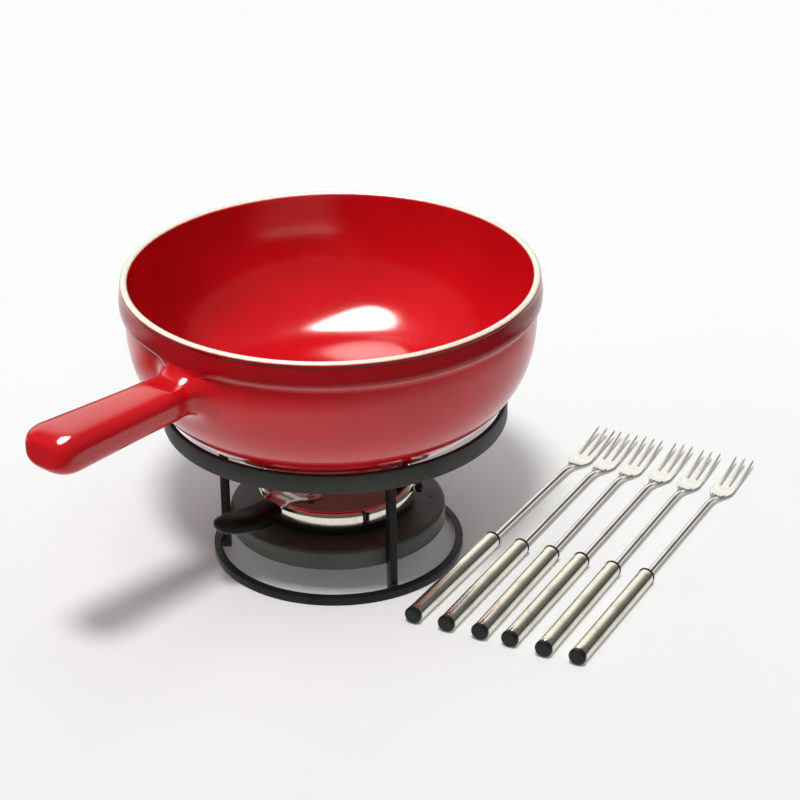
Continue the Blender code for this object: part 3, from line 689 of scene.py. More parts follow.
def blended_distance(p, outline):
    """Distance from the smooth union of pot and handle, and the gap between their distances."""
    pot, handle = pot_distance(p, outline), handle_distance(p)
    gap = np.abs(pot - handle)
    h = np.clip(BLEND - gap, 0, None) / BLEND
    return np.minimum(pot, handle) - h * h * BLEND * 0.25, gap


def root_place(vert):
    """A vertex as distance along the handle, distance across it, z, and radius from the pot."""
    x, y, z = vert.co * 1000
    return (x * HANDLE_OUT.x + y * HANDLE_OUT.y, x * HANDLE_SIDE.x + y * HANDLE_SIDE.y, z,
            math.hypot(x - POT_X, y))


def at_root(vert):
    along, across, z, radius = root_place(vert)
    return 104 < along < 140 and abs(across) < 48 and 122 < z < 178 and radius > 117.6


def on_seam(vert):
    along, across, z, radius = root_place(vert)
    return abs(across) < 40 and 106 < along < 138 and radius > 118.6 and 126 < z < 172


def refine_root(mesh):
    """Finer, even triangles round the handle's root, before it is blended."""
    bm = bmesh.new()
    bm.from_mesh(mesh)
    bmesh.ops.remove_doubles(bm, verts=bm.verts, dist=0.00003)
    bmesh.ops.triangulate(bm, faces=[f for f in bm.faces if any(at_root(v) for v in f.verts)])
    for limit in (0.0030, 0.0021):
        long = [e for e in bm.edges
                if e.calc_length() > limit and at_root(e.verts[0]) and at_root(e.verts[1])]
        bmesh.ops.subdivide_edges(bm, edges=long, cuts=1, use_grid_fill=False)
        bmesh.ops.triangulate(bm, faces=[f for f in bm.faces if len(f.verts) > 3
                                         and any(at_root(v) for v in f.verts)])
    bm.to_mesh(mesh)
    bm.free()


def vertices_mm(mesh):
    co = np.zeros(len(mesh.vertices) * 3)
    mesh.vertices.foreach_get("co", co)
    return co.reshape(-1, 3) * 1000.0


def blend_root(mesh, outline):
    """Walks the vertices near the root onto the smooth union of pot and handle."""
    p = vertices_mm(mesh)
    radius = np.hypot(p[:, 0] - POT_X, p[:, 1])
    along = p @ np.array(HANDLE_OUT)
    near = np.where((along > 95.0) & (along < 150.0)
                    & ((radius > 118.4) | (p[:, 2] < 160.0) & (radius > 113.0)))[0]
    moved = p[near]
    top_fade = np.clip((177.5 - moved[:, 2]) / 9.0, 0, 1)
    wall = np.array([body_radius(min(z, STEP_Z)) for z in moved[:, 2]])
    outside = np.hypot(moved[:, 0] - POT_X, moved[:, 1]) > wall - 1.5
    for _ in range(5):
        value, gap = blended_distance(moved, outline)
        slope = np.stack([(blended_distance(moved + axis * 0.05, outline)[0] - value) / 0.05
                          for axis in np.eye(3)], 1)
        steepness = np.maximum((slope * slope).sum(1), 0.25)
        step = -(value / steepness)[:, None] * slope
        weight = (np.clip((BLEND + 3.0 - gap) / 3.0, 0, 1) * top_fade * outside)[:, None]
        length = np.linalg.norm(step, axis=1, keepdims=True)
        step *= np.minimum(1.0, 2.5 / np.maximum(length, 1e-9))
        moved = moved + step * weight
    p[near] = moved
    mesh.vertices.foreach_set("co", (p / 1000.0).ravel())
    mesh.update()


def calm_seam(mesh):
    """Relaxes the line where the two surfaces met."""
    bm = bmesh.new()
    bm.from_mesh(mesh)
    bmesh.ops.remove_doubles(bm, verts=bm.verts, dist=0.00002)
    bmesh.ops.dissolve_degenerate(bm, dist=0.00002, edges=bm.edges)
    seam = [v for v in bm.verts if on_seam(v)]
    for _ in range(9):
        bmesh.ops.smooth_vert(bm, verts=seam, factor=0.4,
                              use_axis_x=True, use_axis_y=True, use_axis_z=True)
    bm.to_mesh(mesh)
    bm.free()


def add_glaze_masks(mesh, profile):
    """Vertex masks for the glaze, from each vertex's place on the pot; the handle stays plain."""
    p = vertices_mm(mesh)
    r, z = np.hypot(p[:, 0] - POT_X, p[:, 1]), p[:, 2]
    table = np.array(profile)
    masks = {}
    # rim and foot are glaze and clay; edge is the pale lip line, thinner glaze with a painted
    # highlight
    for column, name in ((2, "rim"), (3, "edge"), (4, "foot")):
        masks[name] = np.zeros(len(p))
        for row in table[table[:, column] > 0]:
            close = np.hypot(r - row[0], z - row[1]) < 0.12
            masks[name] = np.where(close, row[column], masks[name])
    # painted shadow: the line mask marks the crease under the rim's bead
    masks["line"] = np.clip(1.0 - np.abs(z - 177.0) / 1.1, 0, 1) * (r > RIM_R - 0.6)
    # painted shade: the band mask marks the band under the rim, away from the handle, for darkening
    masks["band"] = (np.clip((z - STEP_Z - 1.2) / 1.5, 0, 1) * np.clip((178.2 - z) / 1.0, 0, 1)
                     * (r > RIM_R - 0.4) * (p @ np.array(HANDLE_OUT) < 125.0))
    for name, values in masks.items():
        attribute = mesh.attributes.new(name, "FLOAT", "POINT")
        attribute.data.foreach_set("value", values.astype(np.float32))
    mesh.update()


def build_pot():
    profile = pot_profile()
    ob = add_piece("pot_shell", pot_bowl(profile), "pot", GLAZE, "pot", sharp=None)
    boolean(ob, [handle_form()], "UNION")
    mesh = ob.data
    refine_root(mesh)
    blend_root(mesh, np.array([q[:2] for q in profile[OUTER_START:OUTER_END]]))
    calm_seam(mesh)
    add_glaze_masks(mesh, profile)
    mesh.shade_smooth()
    return ob


pot_shell = build_pot()

# ================================================================== stand
LEG_WIDTH, LEG_THICK = 4.8, 5.4
LEG_R = 67.2                    # centre line of the upright part
BEND = 7.0
ARM_TOP, ARM_END = 91.7, 98.5
LEGS = [("left", 180.0), ("front_right", -61.5), ("rear", 60.0)]
# beads across a leg: place, radius from the axis, first offset, pitch, height, count,
# bead radius, seed per leg, seed offset
CROSS_WELDS = [("top", 70.05, -2.1, 0.6, 5.5, 8, 0.8, 7, 1),
               ("tray", 64.35, -2.4, 0.6, 20.0, 9, 0.75, 5, 2),
               ("arm", 98.65, -2.3, 0.58, ARM_TOP, 9, 0.8, 11, 4)]


def rectangle(x0, x1, z0, z1):
    return [(x0, z0), (x1, z0), (x1, z1), (x0, z1)]


def leg(out, side):
    """A square bar that rises from the lower ring and bends outward to the upper ring."""
    arm_z = ARM_TOP - LEG_THICK / 2
    # radius, z, turn from upright
    path = [(LEG_R, 14.0 * i, 0.0) for i in range(6)] + [(LEG_R, arm_z - BEND, 0.0)]
    for i in range(1, 12):
        a = math.pi / 2 * i / 12
        path.append((LEG_R + BEND * (1 - math.cos(a)), arm_z - BEND + BEND * math.sin(a), a))
    path += [(r, arm_z, math.pi / 2) for r in (LEG_R + BEND, LEG_R + BEND + 12, ARM_END)]
    section = fillet(rectangle(-LEG_THICK / 2, LEG_THICK / 2, -LEG_WIDTH / 2, LEG_WIDTH / 2),
                     0.75, 3)
    loops = []
    for r, z, a in path:
        normal = out * math.cos(a) - up(1) * math.sin(a)
        centre = out * r + up(z)
        loops.append([centre + normal * thick + side * wide for thick, wide in section])
    return loft(loops)


def add_weld(name, points, radius, seed):
    """A weld bead: a lumpy tube along points, its ends closed."""
    rnd = random.Random(seed)
    loops = []
    count = len(points)
    for i, centre in enumerate(points):
        along = (points[min(count - 1, i + 1)] - points[max(0, i - 1)]).normalized()
        u = up(1) if abs(along.z) < 0.8 else Vector((1, 0, 0))
        u = (u - along * u.dot(along)).normalized()
        end = math.sin(math.pi * clamp((i + 0.35) / (count - 0.3))) ** 0.35
        lump = 1.0 + 0.22 * math.sin(i * 2.1 + seed) + 0.10 * rnd.uniform(-1, 1)
        loops.append(circle(centre, u, along.cross(u), radius * (0.25 + 0.75 * end) * lump, 10))
    add_piece(name, loft(loops), "stand", WELD_PAINT, sharp=60)


def build_stand():
    add_piece("upper_ring_strip", lathe(fillet(rectangle(98.8, 101.6, 88.2, 99.8), 0.7, 4), 192),
              "stand", RING_PAINT, "stand_upper_ring")
    add_piece("lower_ring_bar", lathe(fillet(rectangle(70.2, 74.9, 0.0, 5.4), 0.8, 4), 176),
              "stand", SHADED_STAND_PAINT, "stand_lower_ring")
    for n, (label, azimuth) in enumerate(LEGS):
        out, side = directions(azimuth)
        add_piece(f"leg_bar_{label}", leg(out, side), "stand", SHADED_STAND_PAINT,
                  f"stand_leg_{label}")
        # upright beads on both sides of the foot, against the lower ring
        for sign, letter in ((-1, "l"), (1, "r")):
            points = [out * 69.75 + side * (sign * (LEG_WIDTH / 2 + 0.15)) + up(0.9 + 0.55 * i)
                      for i in range(8)]
            add_weld(f"weld_foot_{label}_{letter}", points, 0.85, 3 * n + sign)
        for place, r, first, pitch, z, count, radius, seed_step, seed in CROSS_WELDS:
            points = [out * r + side * (first + pitch * i) + up(z) for i in range(count)]
            add_weld(f"weld_{place}_{label}", points, radius, seed_step * n + seed)


def build_tray():
    """Pressed disc with a turned-down, rounded edge and three dimples."""
    outer, bottom, corner = 64.2, 18.0, 2.2
    profile = [(0.0, TRAY_TOP - 1.6), (58.6, TRAY_TOP - 1.6), (61.2, TRAY_TOP - 2.7),
               (62.5, TRAY_TOP - 5.0), (62.6, bottom + 0.4), (63.0, bottom), (63.9, bottom),
               (outer, bottom + 0.5)]
    profile += arc(outer - corner, TRAY_TOP - corner, corner,
                   [math.pi / 2 * i / 12 for i in range(13)])
    profile += [(outer - corner - 1.0 * i, TRAY_TOP) for i in range(1, 15)]
    profile += [(r, TRAY_TOP) for r in (40.0, 20.0, 0.0)]
    bm = lathe(profile, 200)
    dimples = [polar(55.0, azimuth) for azimuth in (0.0, 120.0, 240.0)]
    for v in bm.verts:
        if v.co.z > TRAY_TOP - 2.0 and v.co.x ** 2 + v.co.y ** 2 > 46.0 ** 2:
            for dimple in dimples:
                distance = math.hypot(v.co.x - dimple.x, v.co.y - dimple.y)
                v.co.z -= 0.75 * math.exp(-(distance / 1.5) ** 2)
    add_piece("tray_pressing", bm, "stand", TRAY_PAINT, "burner_tray")


build_stand()
build_tray()

# ================================================================== burner
PAN_Z = TRAY_TOP + 0.3          # underside of the pan
CUP_Z = PAN_Z + 1.9             # underside of the fuel cup
GAUZE_Z, GAUZE_R, GAUZE_PITCH, WIRE_R = 40.25, 41.5, 2.3, 0.21
BAND_LOW, BAND_TOP, BAND_OUTER, BAND_INNER = 36.8, 45.6, 47.3, 45.9
STRAP_OUT, STRAP_SIDE = directions(225.0)
RIVETS = [STRAP_OUT * 29.0 + STRAP_SIDE * offset for offset in (-7.5, 7.5)]
RIVET_HOLE_R = 1.5
# flame holes, shared by the cover and the regulator disc: centre, radius
FLAME_HOLES = [(Vector((0.0, 0.0, 0.0)), 6.0)]
FLAME_HOLES += [(polar(14.5, 60 * k + 30), 4.0) for k in range(6)]


def build_pan_and_cup():
    z = PAN_Z
    pan = fillet([(0, z), (44.0, z), (45.5, z + 1.2), (45.5, z + 6.2), (44.1, z + 6.2),
                  (44.1, z + 1.6), (0, z + 1.6)], [0, 0.6, 0.6, 0.5, 0.4, 0.5, 0], 4)
    add_piece("base_pan", lathe(pan, 128), "burner", ENAMEL, "burner_base")
    z = CUP_Z
    cup = fillet([(0, z), (42.2, z), (43.4, z + 1.2), (43.4, 42.0), (42.5, 42.0),
                  (42.5, z + 1.0), (0, z + 1.0)], [0, 0.8, 0.8, 0.3, 0.3, 0.8, 0], 4)
    add_piece("fuel_cup_shell", lathe(cup, 112), "burner", SATIN, "fuel_cup")


def build_wick():
    profile = [(0, CUP_Z + 1.3), (40.8, CUP_Z + 1.3), (41.7, CUP_Z + 2.2), (41.7, 38.2),
               (41.1, 39.0), (39.9, 39.3)]
    profile += [(39.9 - 2.45 * i, 39.3) for i in range(1, 16)] + [(0, 39.3)]
    bm = lathe(profile, 120)
    for v in bm.verts:
        if v.co.z > 38.0:
            lumps = noise.noise(v.co * 0.45) + 0.5 * noise.noise(v.co * 1.3)
            v.co.z += 0.32 * lumps - 0.25
    add_piece("wick_felt", bm, "burner", WOOL, "wick_pad", sharp=80)


def build_gauze():
    """Wires clipped to a disc, each going over and under its crossings, with a wire rim."""
    bm = bmesh.new()
    count = int(GAUZE_R / GAUZE_PITCH)
    for along_x in (True, False):
        across = Vector((0, 1, 0)) if along_x else Vector((1, 0, 0))
        for i in range(-count, count + 1):
            offset = i * GAUZE_PITCH
            half = math.sqrt(GAUZE_R * GAUZE_R - offset * offset)
            if half < 3:
                continue
            steps = max(6, int(half / 0.8))
            loops = []
            for k in range(steps + 1):
                s = -half + 2 * half * k / steps
                wave = 0.20 * math.cos(math.pi * s / GAUZE_PITCH + math.pi * i)
                z = GAUZE_Z + (wave if along_x else -wave)
                centre = Vector((s, offset, z)) if along_x else Vector((offset, s, z))
                loops.append([centre + across * (WIRE_R * math.cos(t)) + up(WIRE_R * math.sin(t))
                              for t in turn(4)])
            loft(loops, bm)
    rim = [[polar(41.55 + 0.35 * math.cos(t), 360 * k / 120, GAUZE_Z + 0.35 * math.sin(t))
            for t in turn(8)] for k in range(120)]
    loft(rim, bm, closed=True)
    add_piece("gauze_mesh", bm, "burner", GAUZE_STEEL, "wire_gauze", sharp=60)


def build_band():
    """Strip bent into a ring: an open seam, the top edge rolled in, and a window on the right."""
    low, top, outer, inner = BAND_LOW, BAND_TOP, BAND_OUTER, BAND_INNER
    profile = [(inner, low + 0.3), (inner + 0.3, low), (outer - 0.3, low), (outer, low + 0.3),
               (outer, low + 3.0), (outer, top - 3.2)]
    profile += arc(outer - 3.1, top - 3.1, 3.1, [math.pi / 2 * i / 10 for i in range(1, 11)])
    profile += [(44.27, top - 0.15), (44.2, top - 0.6), (44.3, top - 1.15), (44.6, top - 1.2)]
    profile += arc(inner - 1.4, top - 2.6, 1.4, [math.pi / 2 * (1 - i / 6) for i in range(1, 6)])
    profile += [(inner, top - 3.0)]
    half_gap = math.degrees(0.8 / outer)
    loops = []
    for k in range(161):
        azimuth = -70.0 + half_gap + (360 - 2 * half_gap) * k / 160
        loops.append([polar(r, azimuth, z) for r, z in profile])
    band = add_piece("band_shell", loft(loops), "burner", POLISHED,
                     "burner_band")
    window = [[polar(r, -17.0 + 38.0 * k / 16, z) for r, z in rectangle(44.9, 49.5, 41.3, 44.5)]
              for k in range(17)]
    boolean(band, [loft(window)], sharp=35)


def build_cover():
    """Slightly dished plate with a faint groove round the holes."""
    profile = fillet(rectangle(0, 43.8, 44.2, 45.2), [0, 0.3, 0.45, 0], 3)[:-2]
    for i in range(40):
        r = 43.3 - 43.3 * i / 39
        groove = 0.02 * math.exp(-((r - 24.5) / 1.6) ** 2)
        profile.append((r, 45.2 - groove - 0.10 * (1 - (r / 43.5) ** 2)))
    plate = add_piece("cover_pressing", lathe(profile, 144), "burner", COVER_STEEL_RED_REFLECTION,
                      "cover_plate")
    holes = FLAME_HOLES + [(centre, RIVET_HOLE_R) for centre in RIVETS]
    boolean(plate, [drill(centre, r, 42, 47, 40) for centre, r in holes], sharp=30)


# strap: distance from the axis, centre height, width
STRAP_KEYS = [(24.0, 46.3, 27.5), (25.0, 46.3, 29.2), (29.0, 46.3, 28.6), (34.0, 46.5, 24.5),
              (41.0, 47.3, 20.6), (47.0, 47.9, 18.6), (51.0, 46.9, 17.2), (55.0, 45.6, 15.8),
              (60.0, 44.9, 13.4), (68.0, 44.9, 9.4)]
# places across the strap, as parts of its half width
STRAP_COLUMNS = [-1.0, -0.93, -0.80, -0.66, -0.45, -0.2, 0.0, 0.2, 0.45, 0.66, 0.80, 0.93, 1.0]
# pocket in the grip for the strap's end: distance from the axis, height, width
POCKET_KEYS = [(50.0, 47.5, 18.4), (51.0, 47.2, 18.0), (55.0, 45.9, 16.6), (60.0, 45.15, 14.2),
               (68.6, 45.15, 9.9)]
# grip: distance from the axis, centre height, width, height
GRIP_KEYS = [(53.0, 45.6, 14.6, 7.8), (53.4, 45.5, 17.2, 9.4), (54.4, 45.3, 19.0, 10.5),
             (58.0, 44.8, 20.5, 11.5), (68.0, 44.8, 21.1, 12.0), (78.0, 46.0, 20.3, 11.5),
             (85.0, 47.4, 18.3, 10.7), (90.0, 48.5, 15.6, 9.4), (93.6, 49.4, 12.2, 7.8),
             (95.6, 49.9, 8.4, 5.6), (96.4, 50.15, 4.4, 3.0)]


def strap_at(s):
    """Centre height and width of the strap."""
    a, b = next(pair for pair in zip(STRAP_KEYS, STRAP_KEYS[1:]) if s <= pair[1][0])
    t = (s - a[0]) / (b[0] - a[0])
    return a[1] + (b[1] - a[1]) * smooth(t), a[2] + (b[2] - a[2]) * t


def build_strap():
    """Tapered strap that steps over the band; its edges turn up into a channel further out."""
    half_thick = 0.62
    loops = []
    for i in range(43):
        s = 24.0 + 44.0 * i / 42
        z, width = strap_at(s)
        if s < 26.0:
            width *= 0.80 + 0.20 * math.sqrt(max(0.0, 1 - ((26.0 - s) / 2.0) ** 2))
        centre = STRAP_OUT * s + up(z)
        channel = clamp((s - 31.0) / 12.0)
        loop = []
        for face, columns in ((-1, STRAP_COLUMNS), (1, STRAP_COLUMNS[::-1])):
            thick = half_thick if face > 0 else half_thick + 0.33 * (1.0 - channel)
            for u in columns:
                edge = (0.10 + 0.85 * channel) / (1 + math.exp(-(abs(u) - 0.80) * 26.0))
                y = width / 2 * u * (1.0 if abs(u) < 1 else 0.995)
                dz = face * (thick if abs(u) < 0.99 else thick * 0.4)
                loop.append(centre + STRAP_SIDE * y + up(dz + edge))
        loops.append(loop)
    strap = add_piece("strap_channel", loft(loops), "burner", STRAP_STEEL,
                      "handle_strap")
    boolean(strap, [drill(centre, RIVET_HOLE_R, 44, 49, 24) for centre in RIVETS], sharp=32)


def build_rivets():
    profile = [(0, 43.95), (1.2, 43.95), (1.2, 47.2), (2.6, 47.2)]
    for i in range(7):
        a = math.pi / 2 * i / 7
        profile.append((2.6 * math.cos(a), 47.35 + 1.35 * math.sin(a)))
    profile.append((0, 48.7))
    for letter, centre in zip("ab", RIVETS):
        bm = lathe(profile, 32)
        bm.transform(Matrix.Translation((centre.x, centre.y, 0)))
        add_piece(f"rivet_head_{letter}", bm, "burner", POLISHED,
                  f"handle_rivet_{letter}")


def grip_at(s, column):
    """Cubic through GRIP_KEYS, with slopes from the neighbouring keys."""
    keys = GRIP_KEYS
    for i in range(len(keys) - 1):
        a, b = keys[i], keys[i + 1]
        if s <= b[0]:
            before = keys[max(0, i - 1)]
            after = keys[min(len(keys) - 1, i + 2)]
            span = b[0] - a[0]
            t = (s - a[0]) / span
            slope_a = (b[column] - before[column]) / (b[0] - before[0]) * span
            slope_b = (after[column] - a[column]) / (after[0] - a[0]) * span
            return ((2 * t ** 3 - 3 * t * t + 1) * a[column] + (t ** 3 - 2 * t * t + t) * slope_a
                    + (-2 * t ** 3 + 3 * t * t) * b[column] + (t ** 3 - t * t) * slope_b)
    return keys[-1][column]


def build_grip():
    """Soft rounded bar with a shallow dish on top and a line along each side."""
    stations = [53.0 + 1.4 * (i / 6) for i in range(6)]
    stations += [54.4 + 31.6 * (i / 26) for i in range(26)]
    stations += [86.0 + 10.4 * math.sin(math.pi / 2 * i / 16) for i in range(17)]
    loops = []
    for s in stations:
        z, width, height = (grip_at(s, column) for column in (1, 2, 3))
        centre = STRAP_OUT * s + up(z)
        loop = []
        for y, dz in superellipse(width, height, 2.6, 48):
            dish = 0.0
            if dz > 0:
                dish = 0.55 * math.exp(-((s - 73.0) / 10.0) ** 2) * math.exp(-(y / 5.0) ** 2)
            line = 0.10 if abs(dz) < 0.25 else 0.0
            loop.append(centre + STRAP_SIDE * (y + math.copysign(line, y)) + up(dz - dish))
        loops.append(loop)
    grip = add_piece("grip_moulding", loft(loops), "burner", GRIP_PLASTIC,
                     "handle_grip", sharp=60)
    pocket = []
    for s, z, width in POCKET_KEYS:
        centre = STRAP_OUT * s + up(z)
        pocket.append([centre + STRAP_SIDE * y + up(dz)
                       for y, dz in rectangle(-width / 2, width / 2, -1.4, 1.9)])
    boolean(grip, [loft(pocket)], sharp=50)


build_pan_and_cup()
build_wick()
build_gauze()
build_band()
build_cover()
build_strap()
build_rivets()
build_grip()

# ================================================================== regulator
DISC_LOW, DISC_TOP = 42.7, 43.7
STEM_OUT, STEM_SIDE = directions(-13.0)
# knob, turned about the stem: distance from the burner's axis, radius
KNOB = [(47.9, 1.9), (47.95, 2.4), (48.2, 2.85), (48.6, 3.08), (49.2, 3.1), (51.2, 3.1),
        (51.8, 3.0), (52.1, 2.75), (52.28, 2.35), (52.3, 1.9), (51.9, 1.6), (51.7, 0.8)]


def along_stem(outline, distances):
    return loft([[STEM_OUT * s + STEM_SIDE * y + up(z) for y, z in outline] for s in distances])


def knob_loop(s, radius):
    """A circle, with two shallow points in every six where the knob is fluted."""
    loop = []
    for i, a in enumerate(turn(72)):
        fluted = 48.5 < s < 51.9 and i % 6 < 2
        r = radius * (1.0 - (0.10 / 3.1 if fluted else 0.0))
        loop.append(STEM_OUT * s + STEM_SIDE * (r * math.cos(a)) + up(DISC_TOP + r * math.sin(a)))
    return loop


def build_regulator():
    disc = add_piece("disc_pressing",
                     lathe(fillet(rectangle(0, 42.3, DISC_LOW, DISC_TOP), [0, 0.3, 0.3, 0], 3), 128),
                     "regulator", SATIN, "regulator_disc")
    boolean(disc, [drill(centre, r, 41, 45, 36) for centre, r in FLAME_HOLES], sharp=30)
    tongue = fillet(rectangle(-1.1, 1.1, DISC_LOW, DISC_TOP), 0.25, 2)
    add_piece("stem_tongue", along_stem(tongue, (42.6, 45.0, 48.0, 50.5)), "regulator", SATIN,
              "regulator_stem")
    knob = add_piece("knob_moulding", loft([knob_loop(s, radius) for s, radius in KNOB]),
                     "regulator", BLACK, "regulator_knob", sharp=40)
    boolean(knob, [along_stem(rectangle(-1.4, 1.4, 42.4, 44.0), (46.9, 50.8))])


build_regulator()

# ================================================================== forks, handle end at x = 0
# handle end x, y from the stand axis, heading in degrees
FORKS = [(43.1, -96.8, 60.9), (61.9, -106.8, 62.1), (80.8, -116.3, 63.0),
         (97.5, -124.6, 62.6), (116.1, -135.9, 63.1), (134.6, -145.0, 62.8)]
FORK_Z, FORK_LENGTH = 5.4, 263.3
SHAFT_R = 1.75
NECK, HEAD_START, HEAD_END = 204.0, 211.5, 229.15
HEAD_W, HEAD_THICK, NECK_W = 14.8, 1.8, 5.4
COLUMNS = 11                    # vertices across the top of the head; the same again below
SLOT_X, SLOT_Y, SLOT_R = 230.0, 2.825, 0.925    # the gaps' round ends
TUBE_START, TUBE_END, TUBE_R, TUBE_BORE = 3.2, 100.3, 5.0, 4.1
PLUG_R = 3.75                   # the part of cap and collar inside the tube
# shallow flats on the neck: x, y, radius in x, radius in y, depth
HAMMER_FLATS = [(209.5, 1.6, 2.6, 1.3, 0.42), (214.5, -0.2, 2.4, 1.0, 0.30),
                (216.8, -3.4, 2.6, 1.7, 0.36), (216.8, 3.4, 2.6, 1.7, 0.36)]


def fork_z(x):
    """Centre height: level shaft, a drop at the neck, tines rising to their tips."""
    if x < 222.0:
        return FORK_Z + (1.7 - FORK_Z) * smooth(clamp((x - NECK + 6) / (222.0 - NECK + 6)))
    return 1.7 + 5.0 * ((x - 222.0) / 40.0) ** 1.6


def slot_half(x):
    """Half width of the gaps between the tines near their round ends."""
    return SLOT_R * math.sqrt(max(0.0, 1.0 - clamp((SLOT_X - x) / SLOT_R) ** 2))


def head_width(x):
    if x < HEAD_START:
        return 3.7 + 1.7 * max(0.0, (x - NECK) / 7.5) ** 1.3
    t = min(1.0, (x - HEAD_START) / 12.5)
    return NECK_W + (HEAD_W - NECK_W) * (smooth(t) * 0.35 + 0.65 * (1 - (1 - t) ** 1.7))


def head_columns(x):
    """Where the lengthwise edges run; they gather at the sides of the slots."""
    v = clamp((x - 224.0) / (HEAD_END - 224.0))
    half = slot_half(HEAD_END)
    positive = [HEAD_W / 2, 7.15, 4.0 + (3.7 - 4.0) * v, 3.75 + (SLOT_Y + half - 3.75) * v,
                1.9 + (SLOT_Y - half - 1.9) * v]
    return [*positive, 0.0, *(-y for y in positive[::-1])]


def hammered_height(x, y):
    """Change in the top's height: the flats, and a raised middle between them."""
    change = 0.35 * math.exp(-((x - 212.5) / 3.0) ** 2 - (y / 1.6) ** 2)
    for flat_x, flat_y, radius_x, radius_y, depth in HAMMER_FLATS:
        change -= depth * math.exp(-((x - flat_x) / radius_x) ** 4
                                   - ((y - flat_y) / radius_y) ** 4)
    return change


def head_loop(bm, x, hammered):
    """Top and bottom vertices at x, from the round shaft to the flat head."""
    flat = smooth(clamp((x - NECK) / 10.0))
    scale = head_width(x) / HEAD_W
    thick = HEAD_THICK
    if x <= 215:
        thick += 1.1 * (1 - clamp((x - 207.0) / 8.0))
    centre = fork_z(x)
    top, bottom = [], []
    for i, column in enumerate(head_columns(x)):
        a = math.radians(9 + 162 * i / (COLUMNS - 1))
        round_y, round_z = SHAFT_R * math.cos(a), SHAFT_R * math.sin(a)
        flat_y = column * scale
        under_z = thick / 2 - (0.22 if i in (0, COLUMNS - 1) else 0.0)
        over_z = under_z
        if hammered and 207.0 < x < 219.0:
            over_z += hammered_height(x, flat_y)
        y = round_y * (1 - flat) + flat_y * flat
        top.append(bm.verts.new((x, y, centre + round_z * (1 - flat) + over_z * flat)))
        bottom.append(bm.verts.new((x, y, centre - (round_z * (1 - flat) + under_z * flat))))
    return top, bottom


def tine_size(x, side):
    """Width, thickness and y of a tine; side is 1, 0 or -1."""
    if x <= SLOT_X:
        half = slot_half(x)
        width = 2 * (SLOT_Y - half) if side == 0 else HEAD_W / 2 - SLOT_Y - half
        return width, HEAD_THICK, side * (HEAD_W / 2 - width / 2)
    t = (x - SLOT_X) / (FORK_LENGTH - SLOT_X)
    width = (3.8 if side == 0 else 3.65) - 2.45 * t
    thick = HEAD_THICK - 0.95 * t
    if t > 0.90:
        q = min(1.0, (t - 0.90) / 0.10)
        width *= math.sqrt(max(0.05, 1 - q * q))
        thick *= math.sqrt(max(0.10, 1 - q * q))
    return width, thick, side * (5.575 + 0.10 * t)


def add_tine(bm, root, columns, side):
    """Grows one tine from a loop of head vertices."""
    length = FORK_LENGTH - SLOT_X
    stations = [229.25, 229.4, 229.6, 229.8, SLOT_X]
    stations += [SLOT_X + length * (i / 18) for i in range(1, 17)]
    stations += [FORK_LENGTH - length * q for q in (0.075, 0.045, 0.022, 0.008, 0.0)]
    across = np.linspace(1, -1, columns)
    loop = root
    for x in stations:
        width, thick, y = tine_size(x, side)
        centre = fork_z(x)
        following = []
        for face, row in ((1, across), (-1, across[::-1])):
            for u in row:
                bevel = 1 - 0.28 * (abs(u) > 0.99)
                following.append(bm.verts.new((x, y + u * width / 2,
                                               centre + face * (thick / 2 * bevel))))
        for k in range(len(loop)):
            j = (k + 1) % len(loop)
            bm.faces.new((loop[k], loop[j], following[j], following[k]))
        loop = following
    bm.faces.new(loop)


def prongs(hammered):
    """Round shaft, a neck that may be hammered, and a flat head with three bevelled tines."""
    bm = bmesh.new()
    stations = [95.0 + 4.0 * i for i in range(26)] + [199.0 + 1.0 * i for i in range(30)]
    loops = [head_loop(bm, x, hammered) for x in stations + [HEAD_END]]
    for (top_a, low_a), (top_b, low_b) in zip(loops, loops[1:]):
        for i in range(COLUMNS - 1):
            bm.faces.new((top_a[i], top_b[i], top_b[i + 1], top_a[i + 1]))
            bm.faces.new((low_a[i], low_a[i + 1], low_b[i + 1], low_b[i]))
        bm.faces.new((top_a[0], low_a[0], low_b[0], top_b[0]))
        bm.faces.new((top_a[-1], top_b[-1], low_b[-1], low_a[-1]))
    top, bottom = loops[0]
    bm.faces.new(top + bottom[::-1])
    top, bottom = loops[-1]
    for i in (3, 6):            # the ends of the two slots
        bm.faces.new((top[i], top[i + 1], bottom[i + 1], bottom[i]))
    for first, last, side in ((0, 3, 1), (4, 6, 0), (7, 10, -1)):
        root = top[first:last + 1] + bottom[first:last + 1][::-1]
        add_tine(bm, root, last - first + 1, side)
    return bm


def along_x(profile):
    """Turns an (x, radius) outline about the fork's axis."""
    bm = lathe([(r, x) for x, r in profile], 48)
    bm.transform(Matrix.Translation((0, 0, FORK_Z)) @ Matrix.Rotation(math.radians(90), 4, "Y"))
    return bm


def handle_tube():
    """Tube with a small crimp pressed in near the collar."""
    profile = fillet([(TUBE_START, TUBE_BORE), (TUBE_START, TUBE_R), (TUBE_END, TUBE_R),
                      (TUBE_END, TUBE_BORE)], [0, 0.35, 0.35, 0], 4)
    # the long outer run starts after the bore point and the five points of the first corner
    split = 6
    divisions = [8 + 6 * k for k in range(13)] + [87.4 + 0.7 * k for k in range(14)]
    run = [(x, profile[split - 1][1]) for x in divisions]
    bm = along_x(profile[:split] + run + profile[split:])
    for v in bm.verts:
        y, z = v.co.y, v.co.z - FORK_Z
        if math.hypot(y, z) > 4.5 and 86.9 < v.co.x < 97.4:
            angle = math.atan2(z, y)
            d = math.hypot((v.co.x - 92.2) / 2.0, ((angle - 0.9) * 5.0) / 0.95)
            press = 1 - 0.5 / 5.0 * math.exp(-d * d)
            v.co.y *= press
            v.co.z = FORK_Z + z * press
    return bm


